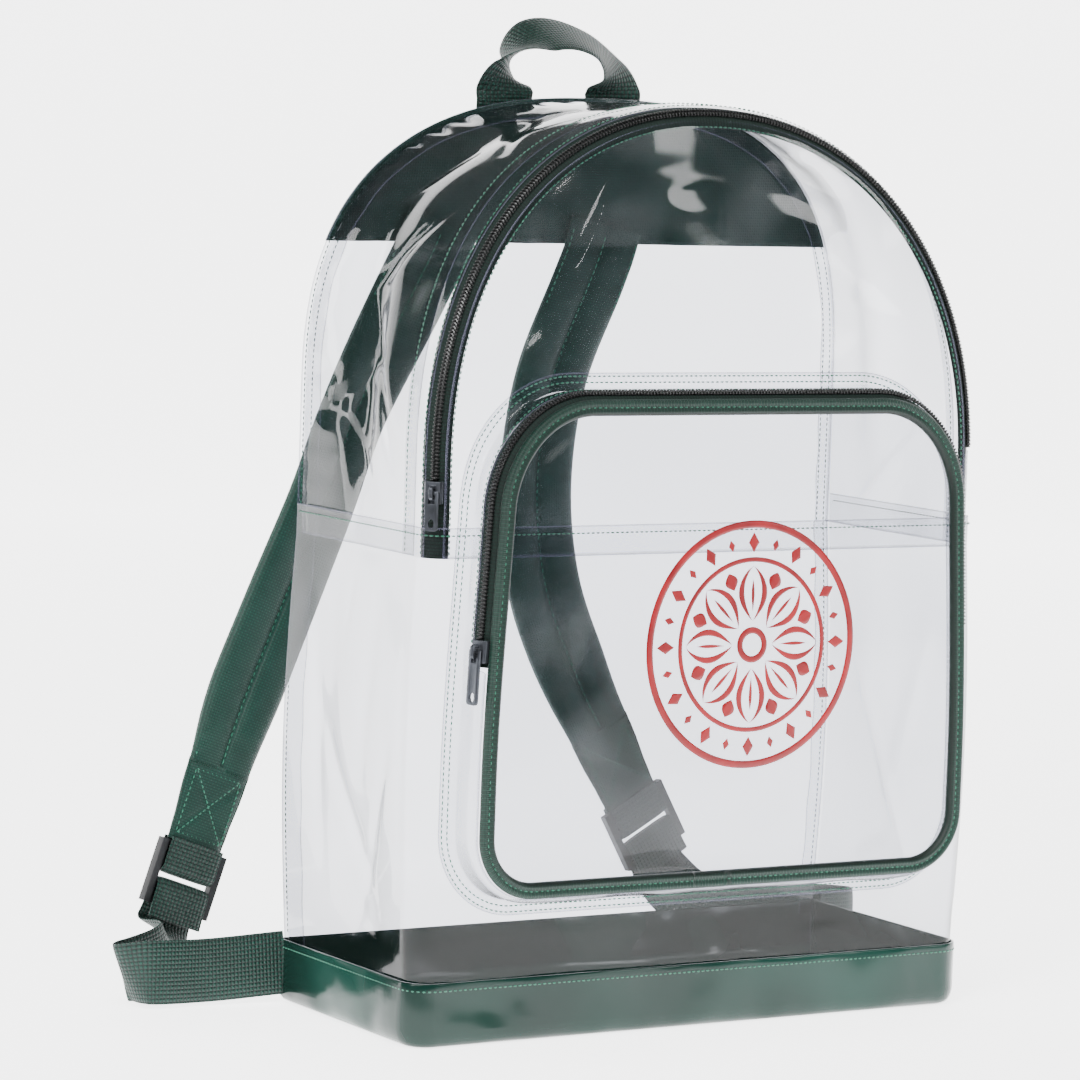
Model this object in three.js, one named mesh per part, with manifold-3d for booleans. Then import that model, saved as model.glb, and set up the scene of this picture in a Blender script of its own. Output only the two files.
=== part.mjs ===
// A clear vinyl day backpack with green nylon trim, standing on its base.
// Millimetres, +Z up. The origin is the centre of the base's underside, the front faces -Y
// and the straps hang behind it, towards +Y.
import * as THREE from 'three';
import { mergeVertices } from 'three/addons/utils/BufferGeometryUtils.js';
import Module from 'manifold-3d';

const wasm = await Module();
wasm.setup();

// Driving dimensions
const BAG = { width: 305, depth: 128, height: 428 };
const SHEET = 1.0;
const CLOTH = 1.2;
const GAP = 0.3;
const LAYER = SHEET + GAP;
const BASE = { height: 30, wall: 1.2, floor: 1.6, backCorner: 2.5, hemCurve: 8, footInset: 6 };
const MID_SEAM = 235;
const LAP = 14;
const TUCK = 12;
const CORNER = 12;
const BOW = { sideDepth: 4, frontDepth: 3 };
const FRONT_ARCH = { rise: 27, drop: 1, power: 2.15 };
const BACK_ARCH = { rise: 55, drop: 0, power: 2.6 };
const LEAN = { front: 12, back: 12 };
const STRIP = { width: 24, edge: 5.2, overlap: 6 };
const MAIN_ZIP = { tapeWidth: 18, tapeThickness: 0.8, teethWidth: 4.4, teethHeight: 1.8 };
const MAIN_ZIP_STOPS = { leftRise: 21, rightRise: 33 };
const PANEL_EDGE = 6;
const YOKE = { height: 71, inset: 1.5, fade: 24 };
const END_TAB = { rise: 30 };

const POCKET = { low: 66, high: 297, margin: 17.5, depth: 20, lowRadius: 32, highRadius: 52 };
const POCKET_SHAPE = { taper: 0.05, taperFrom: 120, flange: 7, rim: 6, bulge: 5 };
const POCKET_ZIP = { offset: -3, tapeWidth: 15, tapeThickness: 0.8, teethWidth: 4, teethHeight: 1.8 };
const POCKET_ZIP_ENDS = { tapeDrop: 123, leftDrop: 110, rightDrop: 111 };
const BINDING = { start: 2.2, width: 7.4, height: 3.2, groove: 1.0 };

const WEB = { width: 30, thickness: 1.8 };
const HANDLE = { centre: -20, spread: 60, rise: 28 };
const PAD = { width: 40, lowerWidth: 35, thickness: 9, endThickness: 3, swell: 46 };
const PAD_TAB = { thickness: 4, length: 36 };
const BUCKLE = { width: 38, length: 31, rail: 3.6, thickness: 4.5 };
const BUCKLE_BARS = { bar: 3, barThickness: 3, upperBar: 10, lowerBar: 20.5 };
const TAIL_LENGTH = 15;
const RUN_OUT = 24;
const TAB_GAP = 2;
const STRAP_TUCK = 9;
const SLIDER = { length: 10, width: 8.4, wall: 1.1, chamfer: 0.8 };
const BRIDGE = { length: 6.2, height: 4.2, width: 1.8, wall: 1.4, corner: 1 };
const MAIN_PULL = { length: 17, width: 6, thickness: 1.4 };
const POCKET_PULL = { length: 24, width: 6.4, thickness: 1.4 };
const PULL_CLEARANCE = 0.6;

const STEPS = { arch: 34, pocket: 36, strap: 20, webbing: 40, handle: 24 };

// Soft dents. along and across are shares of the panel, depth is in millimetres, inwards.
const GUSSET_DENTS = [
  { along: 0.13, across: 0.45, length: 0.09, breadth: 0.12, depth: 5 },
  { along: 0.24, across: 0.62, length: 0.10, breadth: 0.15, depth: 4 },
  { along: 0.36, across: 0.5, length: 0.07, breadth: 0.2, depth: 3 },
  { along: 0.66, across: 0.5, length: 0.08, breadth: 0.2, depth: 3 },
  { along: 0.86, across: 0.55, length: 0.1, breadth: 0.16, depth: 4 },
];
const BODY_DENTS = [
  { along: 0.13, across: 0.2, length: 0.05, breadth: 0.22, depth: 6 },
  { along: 0.07, across: 0.75, length: 0.03, breadth: 0.3, depth: 3 },
  { along: 0.87, across: 0.3, length: 0.05, breadth: 0.25, depth: 5 },
  { along: 0.93, across: 0.7, length: 0.03, breadth: 0.3, depth: 3 },
];

// Shoulder straps. across is a share of half the width, behind of the depth (out from where the
// strap's end lies flat on the back) and up of the height of the strap's top. side_x, side_y and
// side_z point across the strap.
const LEFT_STRAP = [
  { across: -0.505, behind: 0.002, up: 0.9999, side_x: 0.91, side_y: 0.035, side_z: -0.41 },
  { across: -0.538, behind: 0.005, up: 0.9648, side_x: 0.91, side_y: 0.03, side_z: -0.41 },
  { across: -0.590, behind: 0.038, up: 0.9063, side_x: 0.91, side_y: 0.05, side_z: -0.41 },
  { across: -0.702, behind: 0.201, up: 0.7438, side_x: 0.86, side_y: 0.25, side_z: -0.43 },
  { across: -0.774, behind: 0.255, up: 0.6338, side_x: 0.88, side_y: 0.2, side_z: -0.42 },
  { across: -0.898, behind: 0.279, up: 0.5005, side_x: 0.91, side_y: 0.1, side_z: -0.40 },
  { across: -1.036, behind: 0.287, up: 0.3579, side_x: 0.93, side_y: 0.05, side_z: -0.36 },
  { across: -1.098, behind: 0.279, up: 0.2865, side_x: 0.93, side_y: 0.1, side_z: -0.38 },
];
const RIGHT_STRAP = [
  { across: 0.088, behind: 0.002, up: 0.9999, side_x: 0.98, side_y: 0.016, side_z: -0.2 },
  { across: 0.07, behind: 0.005, up: 0.9648, side_x: 0.98, side_y: 0.014, side_z: -0.2 },
  { across: 0.052, behind: 0.036, up: 0.9239, side_x: 0.98, side_y: 0.0, side_z: -0.2 },
  { across: 0.016, behind: 0.198, up: 0.7917, side_x: 1.0, side_y: 0.0, side_z: -0.05 },
  { across: 0.02, behind: 0.288, up: 0.642, side_x: 1.0, side_y: 0.0, side_z: 0.05 },
  { across: 0.092, behind: 0.333, up: 0.5052, side_x: 0.96, side_y: 0.0, side_z: 0.25 },
  { across: 0.223, behind: 0.333, up: 0.3824, side_x: 0.92, side_y: 0.05, side_z: 0.38 },
  { across: 0.315, behind: 0.318, up: 0.3099, side_x: 0.92, side_y: 0.05, side_z: 0.4 },
];
// From each buckle the webbing turns over near the floor and comes back to the base's corner.
const LEFT_WEBBING = [
  { across: -1.302, behind: 0.1681, up: 0.0662, side_x: 0.551, side_y: 0.307, side_z: -0.776 },
  { across: -1.483, behind: 0.1055, up: 0.0438, side_x: 0.41, side_y: 0.185, side_z: -0.893 },
  { across: -1.439, behind: 0.0164, up: 0.047, side_x: 0.16, side_y: -0.012, side_z: -0.987 },
  { across: -1.246, behind: -0.0017, up: 0.046, side_x: -0.009, side_y: 0.016, side_z: -1.0 },
  { across: -1.012, behind: -0.042, up: 0.052, side_x: 0.0, side_y: 0.0, side_z: -1.0 },
];
const RIGHT_WEBBING = [
  { across: 0.634, behind: 0.2623, up: 0.0813, side_x: 0.573, side_y: -0.253, side_z: 0.78 },
  { across: 0.879, behind: 0.2467, up: 0.055, side_x: 0.251, side_y: 0.001, side_z: 0.968 },
  { across: 1.1, behind: 0.1997, up: 0.0483, side_x: 0.05, side_y: 0.0, side_z: 0.999 },
  { across: 1.21, behind: 0.115, up: 0.0462, side_x: 0.0, side_y: 0.0, side_z: 1.0 },
  { across: 1.15, behind: 0.018, up: 0.0474, side_x: 0.0, side_y: 0.0, side_z: 1.0 },
  { across: 1.012, behind: -0.042, up: 0.052, side_x: 0.0, side_y: 0.0, side_z: 1.0 },
];
// The carrying handle. across is a share of half its spread, up of its rise, and behind is in
// shares of the spread. It starts flat on the yoke, and its left leg is twisted.
const HANDLE_ROWS = [
  { across: -1.0, behind: 0.0, up: -0.36, side_x: -1.0, side_y: 0.0, side_z: 0.0 },
  { across: -1.0, behind: 0.01, up: -0.12, side_x: -1.0, side_y: 0.0, side_z: 0.0 },
  { across: -1.0, behind: 0.02, up: 0.08, side_x: -1.0, side_y: 0.0, side_z: 0.0 },
  { across: -0.966, behind: 0.0455, up: 0.366, side_x: -0.774, side_y: -0.633, side_z: -0.021 },
  { across: -0.801, behind: 0.0507, up: 0.712, side_x: -0.273, side_y: -0.947, side_z: -0.171 },
  { across: -0.35, behind: 0.06, up: 0.97, side_x: 0.0, side_y: -0.88, side_z: -0.48 },
  { across: 0.14, behind: 0.072, up: 1.005, side_x: 0.011, side_y: -0.878, side_z: -0.479 },
  { across: 0.69, behind: 0.0296, up: 0.781, side_x: -0.35, side_y: -0.847, side_z: -0.399 },
  { across: 0.956, behind: -0.0033, up: 0.418, side_x: -0.765, side_y: -0.617, side_z: -0.186 },
  { across: 1.0, behind: 0.02, up: 0.08, side_x: -1.0, side_y: 0.0, side_z: 0.0 },
  { across: 1.0, behind: 0.01, up: -0.12, side_x: -1.0, side_y: 0.0, side_z: 0.0 },
  { across: 1.0, behind: 0.0, up: -0.36, side_x: -1.0, side_y: 0.0, side_z: 0.0 },
];

// Sizes that follow from them
const HALF = BAG.width / 2 - BASE.wall - GAP;
const FRONT = BAG.depth / 2 - BASE.wall - GAP;
const BACK = FRONT;
const MAIN_LAYERS = { body: 0, upper: LAYER, under: 2 * LAYER };
const YOKE_EDGE = BAG.height - YOKE.height;
const STRAP_TOP = YOKE_EDGE + STRAP_TUCK;
const POCKET_HALF = BAG.width / 2 - POCKET.margin;
const springOf = (arch) => MID_SEAM + arch.rise;

const point = (x, y, z) => new THREE.Vector3(x, y, z);
const mix = THREE.MathUtils.lerp;
const smooth = THREE.MathUtils.smoothstep;
const range = (count) => Array.from({ length: count }, (_, i) => i);
const spaced = (from, to, count) => range(count + 1).map((i) => mix(from, to, i / count));

// Finishes
const finish = (color, roughness, metalness = 0, opacity = 1) =>
  new THREE.MeshStandardMaterial({ color, roughness, metalness, opacity, transparent: opacity < 1 });
const clearVinyl = () => finish('#e4e6ee', 0.12, 0, 0.35);
const greenVinyl = () => finish('#1b3c35', 0.25);
const greenCloth = () => finish('#173f35', 0.75);
const greenWebbing = () => finish('#0d3f36', 0.85);
const blackCoil = () => finish('#10140f', 0.5);
const blackPlastic = () => finish('#1a1c1e', 0.45);
const gunmetal = () => finish('#4a4d52', 0.35, 0.8);

const bag = new THREE.Group();
bag.name = 'clear_backpack';

// Welds a geometry's shared vertices and drops the triangles that close up to nothing.
function weld(geometry) {
  geometry.deleteAttribute('normal');
  geometry.deleteAttribute('uv');
  const merged = mergeVertices(geometry, 1e-3);
  const index = merged.index.array;
  const kept = [];
  for (let i = 0; i < index.length; i += 3) {
    const [a, b, c] = [index[i], index[i + 1], index[i + 2]];
    if (a !== b && b !== c && a !== c) kept.push(a, b, c);
  }
  merged.setIndex(kept);
  return merged;
}

function signedVolume(geometry) {
  const at = geometry.attributes.position;
  const index = geometry.index.array;
  const [a, b, c] = [point(0, 0, 0), point(0, 0, 0), point(0, 0, 0)];
  let volume = 0;
  for (let i = 0; i < index.length; i += 3) {
    a.fromBufferAttribute(at, index[i]);
    b.fromBufferAttribute(at, index[i + 1]);
    c.fromBufferAttribute(at, index[i + 2]);
    volume += a.dot(b.cross(c)) / 6;
  }
  return volume;
}

// A closed solid through rings of points. A ring's first half runs along its outer side and
// its second half comes back along the inner side, so that its two ends close as strips. Both
// sides' squares are cut along the same diagonal, so that a bent wall keeps its thickness.
function ringSolid(rings, closed = false) {
  const size = rings[0].length;
  const positions = rings.flat().flatMap((p) => [p.x, p.y, p.z]);
  const index = [];
  const quad = (a, b, c, d) => index.push(a, b, c, a, c, d);
  const spans = closed ? rings.length : rings.length - 1;
  for (const i of range(spans)) {
    const here = i * size;
    const next = ((i + 1) % rings.length) * size;
    for (const k of range(size)) {
      const after = (k + 1) % size;
      if (k < size / 2) quad(here + k, here + after, next + after, next + k);
      else quad(here + after, next + after, next + k, here + k);
    }
  }
  if (!closed) {
    const last = (rings.length - 1) * size;
    for (const k of range(size / 2 - 1)) {
      quad(k, size - 1 - k, size - 2 - k, k + 1);
      quad(last + k, last + k + 1, last + size - 2 - k, last + size - 1 - k);
    }
  }
  const geometry = new THREE.BufferGeometry();
  geometry.setAttribute('position', new THREE.Float32BufferAttribute(positions, 3));
  geometry.setIndex(index);
  const solid = weld(geometry);
  if (signedVolume(solid) < 0) solid.index.array.reverse();
  return solid;
}

// One ring of a sheet: the points at each place, then back again at the inner side.
function sheetRing(places, skin, inset, thickness) {
  const outer = places.map((place) => skin(place, inset));
  const inner = places.map((place) => skin(place, inset + thickness));
  return [...outer, ...inner.reverse()];
}

function addPiece(name, geometry, material, group = bag) {
  const piece = new THREE.Mesh(geometry, material);
  piece.name = name;
  piece.geometry.computeVertexNormals();
  group.add(piece);
  return piece;
}

function toSolid(geometry) {
  const merged = weld(geometry);
  const vertProperties = new Float32Array(merged.attributes.position.array);
  const triVerts = new Uint32Array(merged.index.array);
  return new wasm.Manifold(new wasm.Mesh({ numProp: 3, vertProperties, triVerts }));
}

function fromSolid(solid) {
  const mesh = solid.getMesh();
  const geometry = new THREE.BufferGeometry();
  geometry.setAttribute('position', new THREE.Float32BufferAttribute(mesh.vertProperties, 3));
  geometry.setIndex(Array.from(mesh.triVerts));
  return geometry;
}

// A line of {x, z} points spaced evenly by length, each with its outward normal nx, nz.
function evenly(dense, count, closed = false) {
  const line = closed ? [...dense, dense[0]] : dense;
  const lengths = [0];
  for (const i of range(line.length - 1)) {
    const step = Math.hypot(line[i + 1].x - line[i].x, line[i + 1].z - line[i].z);
    lengths.push(lengths[i] + step);
  }
  const total = lengths[lengths.length - 1];
  const at = (length) => {
    const after = lengths.findIndex((l) => l > length);
    const i = after < 1 ? (length > 0 ? line.length - 2 : 0) : after - 1;
    const share = (length - lengths[i]) / (lengths[i + 1] - lengths[i] || 1);
    return { x: mix(line[i].x, line[i + 1].x, share), z: mix(line[i].z, line[i + 1].z, share) };
  };
  const reach = total / (8 * count);
  const wrap = (length) => (closed ? (length + total) % total : Math.min(Math.max(length, 0), total));
  return range(closed ? count : count + 1).map((i) => {
    const length = Math.min((total * i) / count, total - 1e-6);
    const before = at(wrap(length - reach));
    const after = at(wrap(length + reach));
    const run = Math.hypot(after.x - before.x, after.z - before.z);
    return { ...at(length), nx: -(after.z - before.z) / run, nz: (after.x - before.x) / run };
  });
}

// A U-shaped outline from the left foot over the crown to the right foot: upright sides, then
// half a superellipse.
function archOutline(arch, foot, count) {
  const rise = BAG.height - arch.drop - springOf(arch);
  const side = spaced(foot, springOf(arch), 12).map((z) => ({ x: -HALF, z }));
  const crown = spaced(0, Math.PI, 120).map((angle) => {
    const c = Math.cos(angle);
    const s = Math.sin(angle);
    return {
      x: -HALF * Math.sign(c) * Math.abs(c) ** (2 / arch.power),
      z: springOf(arch) + rise * Math.max(s, 0) ** (2 / arch.power),
    };
  });
  const other = side.map(({ z }) => ({ x: HALF, z })).reverse();
  return evenly([...side.slice(0, -1), ...crown, ...other.slice(1)], count);
}

// Half the width inside an arch at a height.
function archHalf(arch, z) {
  if (z <= springOf(arch)) return HALF;
  const rise = BAG.height - arch.drop - springOf(arch);
  const share = Math.min((z - springOf(arch)) / rise, 1);
  return HALF * Math.max(1 - share ** arch.power, 0) ** (1 / arch.power);
}

// Where the front and the back lie at a height, before any dent or layer.
const frontY = (z) => -FRONT + LEAN.front * (Math.max(z - MID_SEAM, 0) / (BAG.height - MID_SEAM)) ** 2;
const backY = (z) =>
  BACK - LEAN.back * (Math.max(z - springOf(BACK_ARCH), 0) / (BAG.height - springOf(BACK_ARCH))) ** 2;
const bodyBow = (z) => {
  const share = (z - BASE.height) / (MID_SEAM - LAP - BASE.height);
  return Math.sin(Math.PI * THREE.MathUtils.clamp(share, 0, 1));
};

function dent(table, along, across) {
  const bump = (row) => {
    const far = ((along - row.along) / row.length) ** 2 + ((across - row.across) / row.breadth) ** 2;
    return row.depth * Math.exp(-far);
  };
  return table.reduce((sum, row) => sum + bump(row), 0);
}

// The base: a green tub with a rounded hem, its floor flat on the ground.
function makeBase() {
  const halfWidth = BAG.width / 2;
  const halfDepth = BAG.depth / 2;
  const outline = (inset) => {
    const corners = [[1, 1], [-1, 1], [-1, -1], [1, -1]];
    return corners.flatMap(([sx, sy], quarter) =>
      spaced(0, Math.PI / 2, 4).map((turn) => {
        const full = sy > 0 ? BASE.backCorner : CORNER + BASE.wall + GAP;
        const radius = Math.max(full - inset, GAP);
        const angle = turn + (quarter * Math.PI) / 2;
        return [
          sx * (halfWidth - inset - radius) + radius * Math.cos(angle),
          sy * (halfDepth - inset - radius) + radius * Math.sin(angle),
        ];
      }));
  };
  const outerRows = [
    { inset: BASE.footInset, z: 0 },
    { inset: BASE.footInset * 0.25, z: BASE.hemCurve * 0.28 },
    { inset: 0, z: BASE.hemCurve },
    { inset: 0, z: BASE.height },
  ];
  const thicken = ({ inset, z }) => ({ inset: inset + BASE.wall, z: Math.max(z, BASE.floor) });
  const innerRows = outerRows.map(thicken);
  innerRows[3].z = BASE.height;
  const rows = [...outerRows, ...innerRows.reverse()];
  const loops = rows.map(({ inset, z }) => outline(inset).map(([x, y]) => point(x, y, z)));
  const rings = range(loops[0].length).map((k) => [
    point(0, 0, 0),
    ...loops.map((loop) => loop[k]),
    point(0, 0, BASE.floor),
  ]);
  return ringSolid(rings, true);
}

// The lower body: one band of clear sheet round the left side, the front and the right side.
function makeLowerBody() {
  const end = BACK - LAYER;
  const plan = [
    ...spaced(0, 1, 5).map((share) => ({ part: 'left', share })),
    ...spaced(0, 1, 4).slice(1).map((share) => ({ part: 'left_corner', share })),
    ...spaced(0, 1, 6).slice(1).map((share) => ({ part: 'front', share })),
    ...spaced(0, 1, 4).slice(1).map((share) => ({ part: 'right_corner', share })),
    ...spaced(0, 1, 5).slice(1).map((share) => ({ part: 'right', share })),
  ];
  const bottom = BASE.height - TUCK;
  const heights = [bottom, ...spaced(BASE.height, MID_SEAM - LAP, 6), MID_SEAM];
  const place = ({ part, share }, along, z, inset) => {
    const up = (z - bottom) / (MID_SEAM - bottom);
    const sunk = inset + dent(BODY_DENTS, along, up) * bodyBow(z);
    const half = HALF + BOW.sideDepth * bodyBow(z);
    const turn = (share * Math.PI) / 2;
    const radius = CORNER - sunk;
    if (part === 'left') return point(-half + sunk, mix(end, -FRONT + CORNER, share), z);
    if (part === 'right') return point(half - sunk, mix(-FRONT + CORNER, end, share), z);
    if (part === 'left_corner') {
      return point(-half + CORNER - radius * Math.cos(turn), -FRONT + CORNER - radius * Math.sin(turn), z);
    }
    if (part === 'right_corner') {
      return point(half - CORNER + radius * Math.sin(turn), -FRONT + CORNER - radius * Math.cos(turn), z);
    }
    const x = mix(-half + CORNER, half - CORNER, share);
    return point(x, -FRONT + sunk - BOW.frontDepth * bodyBow(z) * Math.sin(Math.PI * share), z);
  };
  const rings = plan.map((column, i) => {
    const along = i / (plan.length - 1);
    return sheetRing(heights, (z, inset) => place(column, along, z, inset), MAIN_LAYERS.body, SHEET);
  });
  return ringSolid(rings);
}

// The upper body's skin. frontLine and backLine run over the bag from foot to foot.
const foot = MID_SEAM - LAP;
const frontLine = archOutline(FRONT_ARCH, foot, STEPS.arch);
const backLine = archOutline(BACK_ARCH, foot, STEPS.arch);
const QUARTER = (CORNER * Math.PI) / 4;

// A line's point between two of its steps.
function stepOn(line, i) {
  const low = Math.floor(i);
  const [a, b] = [line[low % line.length], line[(low + 1) % line.length]];
  return Object.fromEntries(Object.keys(a).map((key) => [key, mix(a[key], b[key], i - low)]));
}

// A point of that skin at step i, at a distance from the middle of the zip: below zero it goes
// back along the gusset, and above zero in over the front.
function skinAt(i, distance, inset) {
  const front = stepOn(frontLine, i);
  const edge = frontY(front.z);
  if (distance > QUARTER) {
    const inward = CORNER + distance - QUARTER;
    const z = front.z - front.nz * inward;
    return point(front.x - front.nx * inward, frontY(z) + inset, z);
  }
  if (distance >= -QUARTER) {
    const turn = Math.PI / 4 + distance / CORNER;
    const radius = CORNER - inset;
    const inward = CORNER - radius * Math.cos(turn);
    const y = edge + CORNER - radius * Math.sin(turn);
    return point(front.x - front.nx * inward, y, front.z - front.nz * inward);
  }
  return gussetAt(i, edge + CORNER - distance - QUARTER, inset);
}

// A point of the gusset at a depth y: straight lines join the front and the back outlines.
function gussetAt(i, y, inset) {
  const front = stepOn(frontLine, i);
  const back = stepOn(backLine, i);
  const start = frontY(front.z);
  const share = (y - start) / (backY(back.z) - start);
  const nx = mix(front.nx, back.nx, share);
  const nz = mix(front.nz, back.nz, share);
  const size = Math.hypot(nx, nz);
  return point(
    mix(front.x, back.x, share) - (nx / size) * inset,
    y,
    mix(front.z, back.z, share) - (nz / size) * inset,
  );
}

const archSteps = range(STEPS.arch + 1);

function makeGusset() {
  const rings = archSteps.map((i) => {
    const from = frontY(frontLine[i].z) + CORNER + STRIP.width - QUARTER;
    const to = backY(backLine[i].z) - LAYER;
    const sunk = (share) => dent(GUSSET_DENTS, i / STEPS.arch, share) * Math.sin(Math.PI * share);
    const depths = [from - STRIP.overlap, ...spaced(from, to, 5)];
    return sheetRing(depths, (y, inset) =>
      gussetAt(i, y, inset + sunk(Math.max((y - from) / (to - from), 0))), MAIN_LAYERS.under, SHEET);
  });
  return ringSolid(rings);
}

// Places across a rounded corner: its ends and the stations that every layer there shares, so
// that the layers' flats lie over each other.
function across(from, to, quarter, others = []) {
  const stations = [...others, -quarter, -quarter / 2, 0, quarter / 2, quarter];
  return [from, ...stations.filter((d) => d > from + GAP && d < to - GAP), to];
}

function makeArchStrip(from, to, inset, thickness, steps = archSteps) {
  const places = across(from, to, QUARTER, [STRIP.overlap - STRIP.width]);
  const ring = (i) => sheetRing(places, (place, depth) => skinAt(i, place, depth), inset, thickness);
  return ringSolid(steps.map(ring));
}

// The step, between whole ones, where a line passes a height on its left or its right side.
function stepAtHeight(line, z, onLeft) {
  const passes = range(line.length).filter((i) => {
    const [a, b] = [line[i], line[(i + 1) % line.length]];
    return (a.z - z) * (b.z - z) <= 0 && a.z !== b.z && (a.x < 0) === onLeft;
  });
  const i = passes[0];
  const [a, b] = [line[i], line[(i + 1) % line.length]];
  return i + (z - a.z) / (b.z - a.z);
}

// Whole steps between two others, and those two. A step too close to either is left out.
function stepsFrom(start, end, apart = 0.1) {
  return [start, ...range(Math.ceil(end)).filter((i) => i > start + apart && i < end - apart), end];
}

// A flat-lying panel inside an arch: rows go up, columns across, and the crown ends narrow.
function makeArchPanel(heights, half, columns, faceY, thickness, edge = 0) {
  const rings = heights.map((z) => {
    const wide = half(z);
    const flat = Math.max(wide - edge, wide / 2);
    const places = spaced(-flat, flat, columns);
    return sheetRing(edge ? [-wide, ...places, wide] : places, (x, inset) =>
      point(x, faceY(x, z, inset), z), 0, thickness);
  });
  return ringSolid(rings);
}

const crownRows = (from, to, count) => spaced(0, Math.PI / 2, count).map((a) => mix(from, to, Math.sin(a)));

// How far a point of the front lies inside the arch.
function insideArch(x, z) {
  const away = range(STEPS.arch).map((i) => {
    const [a, b] = [frontLine[i], frontLine[i + 1]];
    const [dx, dz] = [b.x - a.x, b.z - a.z];
    const share = ((x - a.x) * dx + (z - a.z) * dz) / (dx * dx + dz * dz);
    const t = THREE.MathUtils.clamp(share, 0, 1);
    return Math.hypot(x - a.x - dx * t, z - a.z - dz * t);
  });
  return Math.min(...away);
}

function makeFrontPanel() {
  const inward = CORNER + PANEL_EDGE - QUARTER;
  const half = (z) => {
    const crown = smooth(z, springOf(FRONT_ARCH), BAG.height);
    return Math.max(archHalf(FRONT_ARCH, z + inward * crown) - inward * (1 - crown / 2), PANEL_EDGE);
  };
  const top = BAG.height - FRONT_ARCH.drop - inward - GAP;
  const spring = springOf(FRONT_ARCH);
  const heights = [...spaced(foot, spring, 3), ...crownRows(spring, top, 10).slice(1)];
  const face = (x, z, inset) => {
    const depth = MAIN_LAYERS.upper + inset;
    const beyond = Math.max(CORNER - insideArch(x, z), 0);
    return frontY(z) + CORNER - Math.sqrt((CORNER - depth) ** 2 - beyond ** 2);
  };
  return makeArchPanel(heights, half, 10, face, SHEET, CORNER - inward);
}

function makeBackPanel() {
  const top = BAG.height - BACK_ARCH.drop - GAP;
  const heights = [
    BASE.hemCurve + GAP,
    ...spaced(BASE.height, MID_SEAM - LAP, 4),
    ...crownRows(springOf(BACK_ARCH), top, 9),
  ];
  const half = (z) => Math.max(archHalf(BACK_ARCH, z) - SHEET + BOW.sideDepth * bodyBow(z), PANEL_EDGE);
  return makeArchPanel(heights, half, 8, (x, z, inset) => backY(z) - inset, SHEET);
}

// The cloth yoke lies over the upper back and swells over the two strap ends.
function makeYoke() {
  const top = BAG.height - BACK_ARCH.drop - YOKE.inset;
  const heights = crownRows(YOKE_EDGE, top, 8);
  const half = (z) => Math.max(archHalf(BACK_ARCH, z) - YOKE.inset, PANEL_EDGE);
  const ends = [LEFT_STRAP[0], RIGHT_STRAP[0]].map((row) => row.across * (BAG.width / 2));
  const lift = (x, z) => {
    const near = Math.min(...ends.map((end) => Math.abs(x - end)));
    const level = 1 - smooth(near, PAD.width * 0.8, PAD.width * 1.15);
    const up = 1 - smooth(z, STRAP_TOP + 2, STRAP_TOP + 2 + YOKE.fade);
    return (PAD.endThickness + 3 * GAP) * level * up;
  };
  const face = (x, z, inset) => backY(z) + GAP + CLOTH - inset + lift(x, z);
  return makeArchPanel(heights, half, 20, face, CLOTH);
}

// The pocket's outline, anticlockwise from the middle of its top, narrower above.
function pocketOutline() {
  const { low, high, lowRadius, highRadius } = POCKET;
  const arc = (cx, cz, radius, from, to) =>
    spaced(from, to, 12).map((angle) => {
      return { x: cx + radius * Math.cos(angle), z: cz + radius * Math.sin(angle) };
    });
  const turn = Math.PI / 2;
  const dense = [
    { x: 0, z: high },
    ...arc(-POCKET_HALF + highRadius, high - highRadius, highRadius, turn, 2 * turn),
    ...arc(-POCKET_HALF + lowRadius, low + lowRadius, lowRadius, 2 * turn, 3 * turn),
    ...arc(POCKET_HALF - lowRadius, low + lowRadius, lowRadius, 3 * turn, 4 * turn),
    ...arc(POCKET_HALF - highRadius, high - highRadius, highRadius, 0, turn),
  ];
  const shaped = dense.map(({ x, z }) => ({ x: x * pocketTaper(z), z }));
  return evenly(shaped.reverse(), STEPS.pocket, true);
}

const pocketTaper = (z) => 1 - POCKET_SHAPE.taper * smooth(z, POCKET_SHAPE.taperFrom, POCKET.high);
const pocketLine = pocketOutline();
const POCKET_FACE = -FRONT - POCKET.depth;
const POCKET_QUARTER = (POCKET_SHAPE.rim * Math.PI) / 4;

// The front of the bag that the pocket is sewn to.
function bagFront(x, z) {
  const bowed = BOW.frontDepth * bodyBow(z) * Math.cos((Math.PI * x) / (2 * HALF));
  return frontY(z) - bowed + LAYER * smooth(z, MID_SEAM + LAP, MID_SEAM + 3 * LAP);
}

// A point of the pocket's skin at step k, at a distance from its rim: below zero on the pocket's
// side and above zero on its face.
function pocketAt(k, distance, inset) {
  const p = stepOn(pocketLine, k);
  const rim = POCKET_SHAPE.rim;
  if (distance > POCKET_QUARTER) {
    const inward = rim + distance - POCKET_QUARTER;
    return point(p.x - p.nx * inward, POCKET_FACE + inset, p.z - p.nz * inward);
  }
  if (distance < -POCKET_QUARTER) {
    return point(p.x - p.nx * inset, POCKET_FACE + rim - distance - POCKET_QUARTER, p.z - p.nz * inset);
  }
  const turn = Math.PI / 4 + distance / rim;
  const radius = rim - inset;
  const inward = rim - radius * Math.cos(turn);
  return point(p.x - p.nx * inward, POCKET_FACE + rim - radius * Math.sin(turn), p.z - p.nz * inward);
}

const pocketSteps = range(STEPS.pocket);
const POCKET_TAPE_EDGE = POCKET_ZIP.offset - POCKET_ZIP.tapeWidth / 2;
const POCKET_TAPE_FOOT = POCKET.high - POCKET_ZIP_ENDS.tapeDrop;

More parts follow.
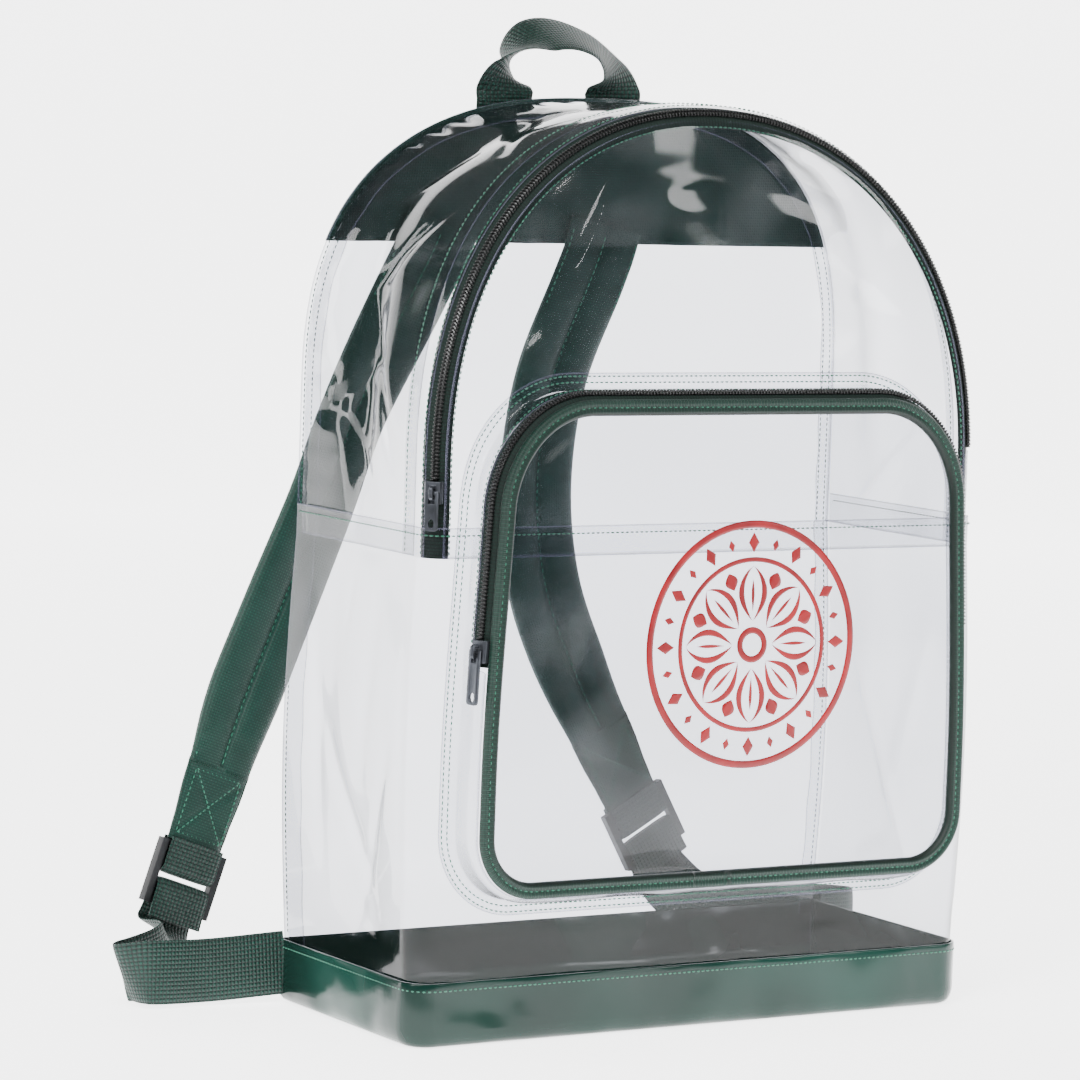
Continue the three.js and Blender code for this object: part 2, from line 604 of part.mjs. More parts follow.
// The pocket's side wall, with the flange that is sewn to the bag.
function makePocketGusset() {
  const left = stepAtHeight(pocketLine, POCKET_TAPE_FOOT, true);
  const right = stepAtHeight(pocketLine, POCKET_TAPE_FOOT, false);
  const slit = 0.01;
  const ring = (k, isOpen) => {
    const p = stepOn(pocketLine, k);
    const seat = (out) => bagFront(p.x + p.nx * out, p.z + p.nz * out) - GAP;
    const foot = (out, lift) => point(p.x + p.nx * out, seat(out) - lift, p.z + p.nz * out);
    const top = isOpen ? POCKET_ZIP.offset - SLIDER.width / 2 - 2 * GAP : BINDING.start - 2 * GAP;
    const low = -(seat(0) - SHEET * 2 - POCKET_FACE - POCKET_SHAPE.rim + POCKET_QUARTER);
    const bends = [-POCKET_QUARTER, -POCKET_QUARTER / 2, 0, top].map((d) => Math.min(d, top));
    const wall = [low, mix(low, POCKET_TAPE_EDGE, 0.5), POCKET_TAPE_EDGE, ...bends];
    return [
      foot(POCKET_SHAPE.flange, SHEET),
      foot(0, SHEET),
      ...wall.map((d) => pocketAt(k, d, 0)),
      ...wall.map((d) => pocketAt(k, d, SHEET)).reverse(),
      foot(-SHEET, 0),
      foot(POCKET_SHAPE.flange, 0),
    ];
  };
  const shut = stepsFrom(right, left).map((k) => ring(k, false));
  const open = stepsFrom(left + slit, right + STEPS.pocket - slit).map((k) => ring(k, true));
  return ringSolid([...shut, ...open], true);
}

function makePocketStrip(from, to, inset, thickness, steps) {
  const places = across(from, to, POCKET_QUARTER);
  const ring = (k) => sheetRing(places, (d, depth) => pocketAt(k, d, depth), inset, thickness);
  return ringSolid(steps.map(ring));
}

// The steps along the pocket's zip between two heights, from its left end over the top.
function pocketZipSteps(left, right) {
  const start = stepAtHeight(pocketLine, left, true);
  const end = stepAtHeight(pocketLine, right, false);
  return stepsFrom(start, end < start ? end + STEPS.pocket : end);
}

function makeBinding() {
  const { start, width, height, groove } = BINDING;
  const section = [
    { d: start, rise: height * 0.35 },
    { d: start + width * 0.2, rise: height * 0.95 },
    { d: start + width * 0.48, rise: height - groove },
    { d: start + width * 0.76, rise: height },
    { d: start + width, rise: height * 0.3 },
  ];
  const rings = pocketSteps.map((k) => [
    ...section.map(({ d, rise }) => pocketAt(k, d, SHEET - GAP - rise)),
    ...section.map(({ d }) => pocketAt(k, d, SHEET)).reverse(),
  ]);
  return ringSolid(rings, true);
}

// The pocket's clear face, which bulges gently between its bound edges.
function makePocketFace() {
  const edge = POCKET_SHAPE.rim + BINDING.start + BINDING.width * 0.6 - POCKET_QUARTER;
  const covered = BINDING.width * 0.4 + GAP;
  const { low, high, lowRadius, highRadius } = POCKET;
  const half = (z) => {
    const below = Math.max(low + lowRadius - z, 0);
    const above = Math.max(z - high + highRadius, 0);
    const cut = below > 0
      ? lowRadius - Math.sqrt(Math.max((lowRadius - edge) ** 2 - below ** 2, 0)) - edge
      : highRadius - Math.sqrt(Math.max((highRadius - edge) ** 2 - above ** 2, 0)) - edge;
    return (POCKET_HALF - cut) * pocketTaper(z) - edge;
  };
  const [from, to] = [low + edge, high - edge];
  const heights = spaced(0, Math.PI, 14).map((a) => mix(from, to, (1 - Math.cos(a)) / 2));
  const face = (x, z, inset) => {
    const level = Math.max(1 - (x / (half(z) - covered)) ** 2, 0);
    const up = Math.sin((Math.PI * (z - from - covered)) / (to - from - 2 * covered));
    return POCKET_FACE + LAYER + inset - POCKET_SHAPE.bulge * Math.max(up, 0) * level;
  };
  return makeArchPanel(heights, half, 10, face, SHEET);
}

// Bands. A row's place and side come from the strap tables.
const rowPlace = (row) => {
  const z = row.up * STRAP_TOP;
  const seat = backY(z) + GAP + PAD.endThickness / 2;
  return point(row.across * (BAG.width / 2), seat + row.behind * BAG.depth, z);
};
const rowSide = (row) => point(row.side_x, row.side_y, row.side_z).normalize();

// Frames along a band: where it is, along it, across it and out of its face.
function bandFrames(places, sides, count) {
  const path = new THREE.CatmullRomCurve3(places, false, 'centripetal');
  const turns = new THREE.CatmullRomCurve3(sides, false, 'centripetal');
  return spaced(0, 1, count).map((share) => {
    const along = path.getTangent(share);
    const side = turns.getPoint(share);
    side.addScaledVector(along, -side.dot(along)).normalize();
    return { at: path.getPoint(share), along, side, out: side.clone().cross(along) };
  });
}

function off(frame, across, up) {
  return frame.at.clone().addScaledVector(frame.side, across).addScaledVector(frame.out, up);
}

function ribbon(frames, width, thickness) {
  return ringSolid(frames.map((f) => [
    off(f, -width / 2, thickness / 2),
    off(f, width / 2, thickness / 2),
    off(f, width / 2, -thickness / 2),
    off(f, -width / 2, -thickness / 2),
  ]));
}

// A padded strap: two swollen channels side by side with a sewn groove between them.
function makePad(frames) {
  const lengths = [0];
  for (const i of range(frames.length - 1)) {
    lengths.push(lengths[i] + frames[i].at.distanceTo(frames[i + 1].at));
  }
  const total = lengths[lengths.length - 1];
  const section = [
    { across: -0.5, rise: 0.22 },
    { across: -0.4, rise: 0.8 },
    { across: -0.2, rise: 1 },
    { across: 0, rise: 0.5 },
    { across: 0.2, rise: 1 },
    { across: 0.4, rise: 0.8 },
    { across: 0.5, rise: 0.22 },
  ];
  return ringSolid(frames.map((f, i) => {
    const thin = PAD.endThickness / PAD.thickness;
    const top = smooth(lengths[i], PAD.swell * 0.4, PAD.swell * 1.6);
    const low = smooth(total - lengths[i], 0, PAD.swell * 0.5);
    const swell = mix(thin, 1, Math.min(top, mix(thin, 1, low)));
    const width = mix(PAD.lowerWidth, PAD.width, smooth(total - lengths[i], 0, PAD.swell));
    const rises = section.map(({ across, rise }) => [across * width, (rise * PAD.thickness * swell) / 2]);
    return [
      ...rises.map(([across, rise]) => off(f, across, rise)),
      ...rises.map(([across, rise]) => off(f, across, -rise)).reverse(),
    ];
  }));
}

// The buckle's own frame starts at the middle of its top edge.
function buckleFrame(frames) {
  const last = frames[frames.length - 1];
  const at = last.at.clone().addScaledVector(last.along, PAD_TAB.length + GAP + TAB_GAP);
  return { ...last, at };
}

const inBuckle = (frame, down, out) =>
  frame.at.clone().addScaledVector(frame.along, down).addScaledVector(frame.out, out);

function makeTab(frames) {
  const last = frames[frames.length - 1];
  const start = PAD.lowerWidth;
  const widths = [start, start - 2 * GAP, mix(start, WEB.width, 0.6), WEB.width + 1];
  return ringSolid(widths.map((width, i) => {
    const down = GAP + (PAD_TAB.length * i) / (widths.length - 1);
    const f = { ...last, at: last.at.clone().addScaledVector(last.along, down) };
    const half = PAD_TAB.thickness / 2;
    return [
      off(f, -width / 2, half * 0.4),
      off(f, -width * 0.42, half),
      off(f, width * 0.42, half),
      off(f, width / 2, half * 0.4),
      off(f, width / 2, -half * 0.4),
      off(f, width * 0.42, -half),
      off(f, -width * 0.42, -half),
      off(f, -width / 2, -half * 0.4),
    ];
  }));
}

const WRAP = BUCKLE.thickness / 2 + GAP + WEB.thickness / 2;
function halfTurn(centre, direction, count) {
  const at = (angle) => [centre + direction * WRAP * Math.cos(angle), WRAP * Math.sin(angle)];
  return spaced(-Math.PI / 2, Math.PI / 2, count).map(at);
}

// The short loop that ties the pad's tab to the buckle's upper bar.
function makeBuckleLoop(frame) {
  const middle = BUCKLE_BARS.upperBar + BUCKLE_BARS.bar / 2;
  const start = GAP - TAB_GAP;
  const turned = halfTurn(middle, 1, 8);
  const line = [[start, -WRAP], [middle / 2, -WRAP], ...turned, [middle / 2, WRAP], [start, WRAP]];
  return ringSolid(line.map(([down, out], i) => {
    const before = line[Math.max(i - 1, 0)];
    const after = line[Math.min(i + 1, line.length - 1)];
    const run = Math.hypot(after[0] - before[0], after[1] - before[1]);
    const along = frame.along.clone().multiplyScalar((after[0] - before[0]) / run);
    along.addScaledVector(frame.out, (after[1] - before[1]) / run);
    const f = { at: inBuckle(frame, down, out), side: frame.side, out: frame.side.clone().cross(along) };
    const w = WEB.width / 2;
    const t = WEB.thickness / 2;
    return [off(f, -w, t), off(f, w, t), off(f, w, -t), off(f, -w, -t)];
  }));
}

// The adjusting webbing: its short tail behind, round the lower bar, over the front and away.
function makeWebbing(frame, rows) {
  const middle = BUCKLE_BARS.lowerBar + BUCKLE_BARS.bar / 2;
  const near = [
    [middle + TAIL_LENGTH, -WRAP - 1],
    [middle + TAIL_LENGTH / 2, -WRAP - 0.4],
    ...halfTurn(middle, -1, 8),
    [middle + RUN_OUT * 0.4, WRAP],
    [middle + RUN_OUT * 0.7, WRAP + 0.6],
  ];
  const places = [...near.map(([down, out]) => inBuckle(frame, down, out)), ...rows.map(rowPlace)];
  const sides = [...near.map(() => frame.side), ...rows.map(rowSide)];
  return ribbon(bandFrames(places, sides, STEPS.webbing), WEB.width, WEB.thickness);
}

function box(width, depth, height, x, y, z) {
  const geometry = new THREE.BoxGeometry(width, depth, height);
  geometry.translate(x, y, z);
  return toSolid(geometry);
}

// A frame with rails down both sides and four bars across, in its own x across, y down, z out.
function makeBuckle(frame) {
  const { width, length, rail, thickness } = BUCKLE;
  const { bar, barThickness, upperBar, lowerBar } = BUCKLE_BARS;
  let solid = box(width, length, thickness, 0, length / 2, 0);
  const stops = [bar, upperBar, upperBar + bar, lowerBar, lowerBar + bar, length - bar];
  for (const i of [0, 2, 4]) {
    const [from, to] = [stops[i], stops[i + 1]];
    solid = solid.subtract(box(width - 2 * rail, to - from, thickness * 2, 0, (from + to) / 2, 0));
  }
  const shaved = (thickness - barThickness) / 2;
  for (const side of [-1, 1]) {
    const out = side * (thickness / 2);
    solid = solid.subtract(box(width - 2 * rail, length * 2, shaved * 2, 0, length / 2, out));
  }
  const geometry = fromSolid(solid);
  const out = frame.side.clone().cross(frame.along);
  const seat = new THREE.Matrix4().makeBasis(frame.side, frame.along, out).setPosition(frame.at);
  geometry.applyMatrix4(seat);
  return geometry;
}

function makeStrap(side, strapRows, webbingRows) {
  const frames = bandFrames(strapRows.map(rowPlace), strapRows.map(rowSide), STEPS.strap);
  const frame = buckleFrame(frames);
  addPiece(`${side}_shoulder_pad`, makePad(frames), greenCloth());
  addPiece(`${side}_pad_tab`, makeTab(frames), greenCloth());
  addPiece(`${side}_buckle_loop`, makeBuckleLoop(frame), greenWebbing());
  addPiece(`${side}_buckle`, makeBuckle(frame), blackPlastic());
  addPiece(`${side}_strap_webbing`, makeWebbing(frame, webbingRows), greenWebbing());
}

// The carrying handle: webbing sewn flat on the yoke, up and over.
function makeHandle() {
  const seat = CLOTH + 2 * GAP + WEB.thickness / 2;
  const places = HANDLE_ROWS.map((row) => {
    const z = BAG.height + row.up * HANDLE.rise;
    const x = HANDLE.centre + (row.across * HANDLE.spread) / 2;
    return point(x, backY(Math.min(z, BAG.height)) + seat + row.behind * HANDLE.spread, z);
  });
  return ribbon(bandFrames(places, HANDLE_ROWS.map(rowSide), STEPS.handle), WEB.width, WEB.thickness);
}

// A zip slider in its own frame: x across the zip, y along it, z out of it. Its foot straddles
// the teeth, and the pull's pin lies under its bridge.
function sliderSolid(zip) {
  const { length, width, wall, chamfer } = SLIDER;
  const channel = zip.teethHeight + GAP;
  const height = channel + wall;
  const inner = zip.teethWidth / 2 + GAP;
  const profile = new THREE.Shape([
    new THREE.Vector2(-width / 2, 0),
    new THREE.Vector2(-inner, 0),
    new THREE.Vector2(-inner, channel),
    new THREE.Vector2(inner, channel),
    new THREE.Vector2(inner, 0),
    new THREE.Vector2(width / 2, 0),
    new THREE.Vector2(width / 2, height - chamfer),
    new THREE.Vector2(width / 2 - chamfer, height),
    new THREE.Vector2(-width / 2 + chamfer, height),
    new THREE.Vector2(-width / 2, height - chamfer),
  ]);
  const body = new THREE.ExtrudeGeometry(profile, { depth: length, bevelEnabled: false });
  body.rotateX(Math.PI / 2);
  body.translate(0, length / 2, 0);
  const half = BRIDGE.length / 2;
  const arch = new THREE.Shape([
    new THREE.Vector2(-half, -wall / 2),
    new THREE.Vector2(half, -wall / 2),
    new THREE.Vector2(half, BRIDGE.height - BRIDGE.corner),
    new THREE.Vector2(half - BRIDGE.corner, BRIDGE.height),
    new THREE.Vector2(-half + BRIDGE.corner, BRIDGE.height),
    new THREE.Vector2(-half, BRIDGE.height - BRIDGE.corner),
  ]);
  arch.holes.push(new THREE.Path([
    new THREE.Vector2(-half + BRIDGE.wall, 0),
    new THREE.Vector2(-half + BRIDGE.wall, BRIDGE.height - BRIDGE.wall),
    new THREE.Vector2(half - BRIDGE.wall, BRIDGE.height - BRIDGE.wall),
    new THREE.Vector2(half - BRIDGE.wall, 0),
  ]));
  const bridge = new THREE.ExtrudeGeometry(arch, { depth: BRIDGE.width, bevelEnabled: false });
  bridge.applyMatrix4(new THREE.Matrix4().makeBasis(point(0, 1, 0), point(0, 0, 1), point(1, 0, 0)));
  bridge.translate(-BRIDGE.width / 2, 0, height);
  const pin = height + (BRIDGE.height - BRIDGE.wall) / 2;
  return { geometry: fromSolid(toSolid(body).add(toSolid(bridge))), pin };
}

// A pull tab that hangs from its pin at the origin, down -y, with its hole near the far end.
function pullGeometry(pull) {
  const { length, width, thickness } = pull;
  const pin = thickness / 2;
  const outline = new THREE.Shape();
  const round = width * 0.3;
  outline.moveTo(-width / 2, pin);
  outline.lineTo(-width / 2, -length + round);
  outline.quadraticCurveTo(-width / 2, -length, -width / 2 + round, -length);
  outline.lineTo(width / 2 - round, -length);
  outline.quadraticCurveTo(width / 2, -length, width / 2, -length + round);
  outline.lineTo(width / 2, pin);
  outline.closePath();
  const window = new THREE.Path();
  const side = BRIDGE.width / 2 + PULL_CLEARANCE;
  const reach = Math.hypot(BRIDGE.length / 2, BRIDGE.height / 2) + 2 * PULL_CLEARANCE;
  window.moveTo(-side, -pin);
  window.lineTo(side, -pin);
  window.lineTo(side, -reach);
  window.lineTo(-side, -reach);
  window.closePath();
  const eye = new THREE.Path();
  eye.absellipse(0, -length + width * 0.55, width * 0.22, width * 0.36, 0, 2 * Math.PI, true);
  outline.holes.push(window, eye);
  const cut = { depth: thickness, bevelEnabled: false, curveSegments: 5 };
  const geometry = new THREE.ExtrudeGeometry(outline, cut);
  geometry.translate(0, 0, -thickness / 2);
  return weld(geometry);
}

// Seats a slider and its pull on a zip. The frame's x is across, y up the zip and z outwards.
function seatSlider(name, zip, pull, frame) {
  const { geometry, pin } = sliderSolid(zip);
  geometry.applyMatrix4(frame);
  addPiece(`${name}_slider`, geometry, gunmetal());
  const tab = pullGeometry(pull);
  tab.translate(0, 0, pin);
  tab.applyMatrix4(frame);
  const piece = addPiece(`${name}_pull`, tab, gunmetal());
  const axis = point(1, 0, 0).transformDirection(frame);
  piece.userData.hinge = { axis, at: point(0, 0, pin).applyMatrix4(frame) };
}

// The frame on a zip's tape at one step.
function zipFrame(skin, i, distance, inset) {
  const reach = 0.2;
  const at = skin(i, distance, inset);
  const up = skin(i + reach, distance, inset).sub(skin(i - reach, distance, inset)).normalize();
  const out = skin(i, distance, inset - 1).sub(at);
  out.addScaledVector(up, -out.dot(up)).normalize();
  return new THREE.Matrix4().makeBasis(up.clone().cross(out), up, out).setPosition(at);
}

function makeMainZip() {
  const leftStop = MID_SEAM + MAIN_ZIP_STOPS.leftRise;
  const start = stepAtHeight(frontLine, leftStop, true);
  const end = stepAtHeight(frontLine, MID_SEAM + MAIN_ZIP_STOPS.rightRise, false);
  const tapeInset = 2 * LAYER;
  const teethInset = tapeInset - GAP - MAIN_ZIP.teethHeight;
  const halfTape = MAIN_ZIP.tapeWidth / 2;
  const halfTeeth = MAIN_ZIP.teethWidth / 2;
  const tape = makeArchStrip(-halfTape, halfTape, tapeInset, MAIN_ZIP.tapeThickness);
  addPiece('main_zip_tape', tape, greenCloth());
  const run = stepsFrom(start, end);
  const teeth = makeArchStrip(-halfTeeth, halfTeeth, teethInset, MAIN_ZIP.teethHeight, run);
  addPiece('main_zip_teeth', teeth, blackCoil());
  const low = leftStop - GAP - SLIDER.length / 2;
  const frame = zipFrame(skinAt, stepAtHeight(frontLine, low, true), 0, tapeInset - GAP);
  seatSlider('main_zip', MAIN_ZIP, MAIN_PULL, frame);
  const tabTop = stepAtHeight(frontLine, MID_SEAM + END_TAB.rise, false);
  const tabRun = stepsFrom(tabTop, STEPS.arch);
  const tab = makeArchStrip(GAP - STRIP.edge, PANEL_EDGE - 4 * GAP, LAYER, SHEET, tabRun);
  addPiece('zip_end_tab', tab, clearVinyl());
}

function makePocketZip() {
  const { offset, teethWidth, teethHeight, tapeThickness } = POCKET_ZIP;
  const leftStop = POCKET.high - POCKET_ZIP_ENDS.leftDrop;
  const rightStop = POCKET.high - POCKET_ZIP_ENDS.rightDrop;
  const length = pocketZipSteps(POCKET_TAPE_FOOT + GAP, POCKET_TAPE_FOOT + GAP);
  const tape = makePocketStrip(POCKET_TAPE_EDGE, BINDING.start + SHEET, LAYER, tapeThickness, length);
  addPiece('pocket_zip_tape', tape, greenCloth());
  const teethInset = LAYER - GAP - teethHeight;
  const steps = pocketZipSteps(leftStop, rightStop);
  const half = teethWidth / 2;
  const chain = makePocketStrip(offset - half, offset + half, teethInset, teethHeight, steps);
  addPiece('pocket_zip_teeth', chain, blackCoil());
  const at = stepAtHeight(pocketLine, leftStop - GAP - SLIDER.length / 2, true);
  seatSlider('pocket_zip', POCKET_ZIP, POCKET_PULL, zipFrame(pocketAt, at, offset, LAYER - GAP));
}

addPiece('base_tub', makeBase(), greenVinyl());
addPiece('lower_body', makeLowerBody(), clearVinyl());
addPiece('back_panel', makeBackPanel(), clearVinyl());
addPiece('yoke', makeYoke(), greenCloth());
addPiece('upper_gusset', makeGusset(), clearVinyl());
addPiece('zip_strip', makeArchStrip(-STRIP.width, -STRIP.edge, LAYER, SHEET), clearVinyl());
addPiece('front_upper_panel', makeFrontPanel(), clearVinyl());
makeMainZip();
addPiece('pocket_gusset', makePocketGusset(), clearVinyl());
addPiece('pocket_face', makePocketFace(), clearVinyl());
addPiece('pocket_binding', makeBinding(), greenCloth());
makePocketZip();
addPiece('handle', makeHandle(), greenWebbing());
makeStrap('left', LEFT_STRAP, LEFT_WEBBING);
makeStrap('right', RIGHT_STRAP, RIGHT_WEBBING);

export default bag;
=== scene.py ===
"""Looks of a clear vinyl backpack with green nylon trim, laid over its CAD frame."""

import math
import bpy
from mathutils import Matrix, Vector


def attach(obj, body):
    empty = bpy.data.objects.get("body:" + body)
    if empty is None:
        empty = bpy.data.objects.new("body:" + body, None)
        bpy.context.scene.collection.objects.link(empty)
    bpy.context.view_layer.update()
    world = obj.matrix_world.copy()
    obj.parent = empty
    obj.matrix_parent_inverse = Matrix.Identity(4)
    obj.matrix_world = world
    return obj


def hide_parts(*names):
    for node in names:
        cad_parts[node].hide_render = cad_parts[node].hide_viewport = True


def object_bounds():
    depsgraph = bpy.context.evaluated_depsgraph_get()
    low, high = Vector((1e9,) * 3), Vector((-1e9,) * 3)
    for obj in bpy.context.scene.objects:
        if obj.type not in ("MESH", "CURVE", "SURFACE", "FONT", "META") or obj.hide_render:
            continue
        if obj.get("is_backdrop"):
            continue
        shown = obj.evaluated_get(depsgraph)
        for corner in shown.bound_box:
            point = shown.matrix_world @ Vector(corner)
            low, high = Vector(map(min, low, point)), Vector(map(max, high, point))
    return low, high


bl_info = {
    "name": "Clear vinyl backpack",
    "version": (1, 0, 0),
    "blender": (4, 5, 0),
    "location": "View3D > Sidebar > Backpack",
    "description": "Makes the sheets, cloth, webbing, zips and stitches of a clear backpack",
    "category": "Object",
}

import bmesh
import bpy
import numpy as np
from mathutils import Matrix, Vector

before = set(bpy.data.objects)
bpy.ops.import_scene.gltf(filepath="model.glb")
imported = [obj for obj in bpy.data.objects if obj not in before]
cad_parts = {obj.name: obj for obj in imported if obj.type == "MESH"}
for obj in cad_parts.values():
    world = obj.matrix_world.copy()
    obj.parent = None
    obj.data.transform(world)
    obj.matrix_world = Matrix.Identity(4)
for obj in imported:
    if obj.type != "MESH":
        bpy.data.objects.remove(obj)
cad_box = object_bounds()

# Shapes are worked out in millimetres and put into the meshes in metres.
MM = 0.001
HALF = 151.0
FACE = 62.5
CORNER = 12.0
QUARTER = CORNER * math.pi / 4
MID_SEAM = 235.0
LAP = 14.0
BASE_TOP = 30.0
TUB_FRONT_RADIUS = 13.5
TUB_BACK_RADIUS = 2.5
TUB_HALF_WIDTH = 152.5
TUB_HALF_DEPTH = 64.0
FOOT = MID_SEAM - LAP
LAYER = 1.3
SHEET_MIDDLE = 0.5
EDGE_WIDTH = 0.9
FRONT_SPRING = 262.0
FRONT_POWER = 2.15
FRONT_CROWN = 427.0
BACK_SPRING = 290.0
BACK_POWER = 2.6
BACK_CROWN = 428.0
LEAN = 12.0
GUSSET_WIDTH = 74.0
STRIP_REACH = 24.0
SEAM_ALLOWANCE = 10.4
YOKE_EDGE = 357.0
STRAP_TOP = 366.0
POCKET_FACE = -82.5
POCKET_HALF = 135.0
POCKET_LOW = 66.0
POCKET_HIGH = 297.0
POCKET_LOW_RADIUS = 32.0
POCKET_HIGH_RADIUS = 52.0
POCKET_INSET = 5.93
POCKET_RIM = 6.0
POCKET_QUARTER = POCKET_RIM * math.pi / 4
WEB_WIDTH = 30.0
WEB_THICKNESS = 1.8
STRAP_CENTRES = (-77.0, 13.4)
CAMERA_AZIMUTH = 31.46
INSIDE = (0.0, 0.0, 200.0)


def linear(colour):
    """The linear RGBA of an sRGB hex colour: c / 12.92 when dark, else ((c + 0.055) / 1.055) ^ 2.4."""
    parts = [int(colour[i:i + 2], 16) / 255 for i in (1, 3, 5)]
    curve = [p / 12.92 if p <= 0.04045 else ((p + 0.055) / 1.055) ** 2.4 for p in parts]
    return (*curve, 1.0)


def smooth(value, low, high):
    """0 below low, 1 above high and 3t^2 - 2t^3 between them."""
    t = np.clip((value - low) / (high - low), 0, 1)
    return t * t * (3 - 2 * t)


def mix(a, b, share):
    """From a to b in a straight line."""
    return a + (b - a) * share


def unit(vectors):
    """The same directions, each one long."""
    return vectors / np.linalg.norm(vectors, axis=-1, keepdims=True)


def stack(x, y, z):
    """Points from three arrays of coordinates, spread to one shape."""
    return np.stack(np.broadcast_arrays(x, y, z), -1).astype(float)


# Sizes and colours that a user would change


def colour_setting(name, text, value):
    """A colour that a user can change, given as an sRGB hex value."""
    return bpy.props.FloatVectorProperty(
        name=name, description=text, subtype="COLOR", size=3, min=0, max=1, default=linear(value)[:3])


def length_setting(name, text, low, high, value):
    """A length in metres."""
    return bpy.props.FloatProperty(
        name=name, description=text, min=low, max=high, default=value, unit="LENGTH")


def number_setting(name, text, high, value, unit="NONE"):
    """A number of 0 or more."""
    return bpy.props.FloatProperty(name=name, description=text, min=0, max=high, default=value, unit=unit)


class VinylLook(bpy.types.PropertyGroup):
    """The clear sheet."""

    tint: colour_setting("Sheet tint", "Colour that one layer of the sheet lets through", "#ebecef")
    edge: colour_setting("Edge tint", "Colour of the sheet's cut edges", "#77778c")
    gloss: number_setting("Gloss roughness", "Roughness of the sheet's reflections", 1, 0.09)
    wave: length_setting("Wave height", "Height of the soft waves in the sheet", 0, 0.004, 0.0012)


class TrimLook(bpy.types.PropertyGroup):
    """The green trim, the zips and the print."""

    nylon: colour_setting("Nylon", "Colour of the yoke, pads and tabs", "#0b352b")
    webbing: colour_setting("Webbing", "Colour of the woven straps and handle", "#032c23")
    base: colour_setting("Base", "Colour of the vinyl base", "#0d2a23")
    thread: colour_setting("Thread", "Colour of the stitches", "#12694f")
    print_ink: colour_setting("Print ink", "Colour of the rosette on the pocket", "#8e000d")


class StitchSizes(bpy.types.PropertyGroup):
    """Lockstitch rows."""

    pitch: length_setting("Stitch pitch", "Length from one stitch to the next", 0.001, 0.006, 0.0026)
    length: length_setting(
        "Stitch length", "Length of the thread that shows in a stitch", 0.0005, 0.005, 0.0019)
    thickness: length_setting("Thread thickness", "Diameter of the sewing thread", 0.0001, 0.001, 0.0006)


class StudioLight(bpy.types.PropertyGroup):
    """Floor and light."""

    key_power: number_setting("Key light", "Power of the large light on the left", 500, 70, "POWER")
    fill_power: number_setting("Fill light", "Power of the light on the right", 500, 26, "POWER")
    top_power: number_setting("Top light", "Power of the light above", 500, 34, "POWER")
    glow: number_setting("Floor glow", "Strength of the light that comes through the opal floor", 10, 3.4)
    world: number_setting("Room light", "Strength of the pale light from all round", 4, 0.3)


# Meshes


def grid_faces(rows, columns, wrap_rows=False, wrap_columns=False, first=0):
    """Quads between neighbouring rows and columns of a grid of points, wrapped round where asked."""
    i = np.arange(rows if wrap_rows else rows - 1)[:, None]
    j = np.arange(columns if wrap_columns else columns - 1)[None, :]
    after_i, after_j = (i + 1) % rows, (j + 1) % columns
    corners = (i * columns + j, after_i * columns + j, after_i * columns + after_j, i * columns + after_j)
    return np.stack(np.broadcast_arrays(*corners), -1).reshape(-1, 4) + first


def tube_faces(rows, size, closed=False):
    """Faces of a tube through rows of size points. A row's second half comes back along the first,
    so that each open end closes as a strip."""
    sides = grid_faces(rows, size, closed, True)
    if closed:
        return sides
    k = np.arange(size // 2 - 1)
    start = np.stack([k, size - 1 - k, size - 2 - k, k + 1], -1)
    last = (rows - 1) * size
    end = last + np.stack([k, k + 1, size - 2 - k, size - 1 - k], -1)
    return np.concatenate([sides, start, end])


def signed_volume(points, faces, inside):
    """Volume swept by the faces as seen from a point: above zero when they face away from it."""
    a, b, c, d = (points[faces[:, k]] - np.asarray(inside) for k in range(4))
    first = np.einsum("ij,ij->i", a, np.cross(b, c))
    second = np.einsum("ij,ij->i", a, np.cross(c, d))
    return float((first + second).sum() / 6)


def make_piece(name, points, faces, material, nodes=(), inside=INSIDE, fields=None):
    """Puts points and quads into a mesh whose faces point away from inside, and hands it to the frame."""
    points = np.asarray(points, float).reshape(-1, 3)
    if signed_volume(points, faces, inside) < 0:
        faces = faces[:, ::-1]
    mesh = bpy.data.meshes.new(name)
    mesh.vertices.add(len(points))
    mesh.vertices.foreach_set("co", (points * MM).astype(np.float32).ravel())
    mesh.loops.add(faces.size)
    mesh.loops.foreach_set("vertex_index", np.ascontiguousarray(faces, np.int32).ravel())
    mesh.polygons.add(len(faces))
    mesh.polygons.foreach_set("loop_start", np.arange(0, faces.size, 4, dtype=np.int32))
    mesh.update(calc_edges=True)
    for key, values in (fields or {}).items():
        values = np.asarray(values, np.float32)
        if values.shape[-1:] == (3,):
            mesh.attributes.new(key, "FLOAT_VECTOR", "POINT").data.foreach_set("vector", values.ravel())
        else:
            mesh.attributes.new(key, "FLOAT", "POINT").data.foreach_set("value", values.ravel())
    mesh.validate()
    mesh.polygons.foreach_set("use_smooth", np.ones(len(mesh.polygons), bool))
    piece = bpy.data.objects.new(name, mesh)
    bpy.context.scene.collection.objects.link(piece)
    mesh.materials.append(material)
    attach(piece, "bag")
    if nodes:
        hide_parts(*nodes)
    return piece


def make_sheet(name, points, material, nodes=(), wrap=False, edge=None, weave=None):
    """A single surface over a grid of points, with how near each is to a cut edge."""
    rows, columns = points.shape[:2]
    fields = {}
    if edge is not None:
        fields["edge"] = np.broadcast_to(edge, (rows, columns)).ravel()
    if weave is not None:
        fields["weave"] = weave.reshape(-1, 3)
    return make_piece(name, points, grid_faces(rows, columns, wrap), material, nodes, fields=fields)


def make_clear(name, points, edge, *nodes, wrap=False):
    """A piece of the clear sheet."""
    make_sheet(name, points, finish_of("sheet"), nodes, wrap, edge=edge)


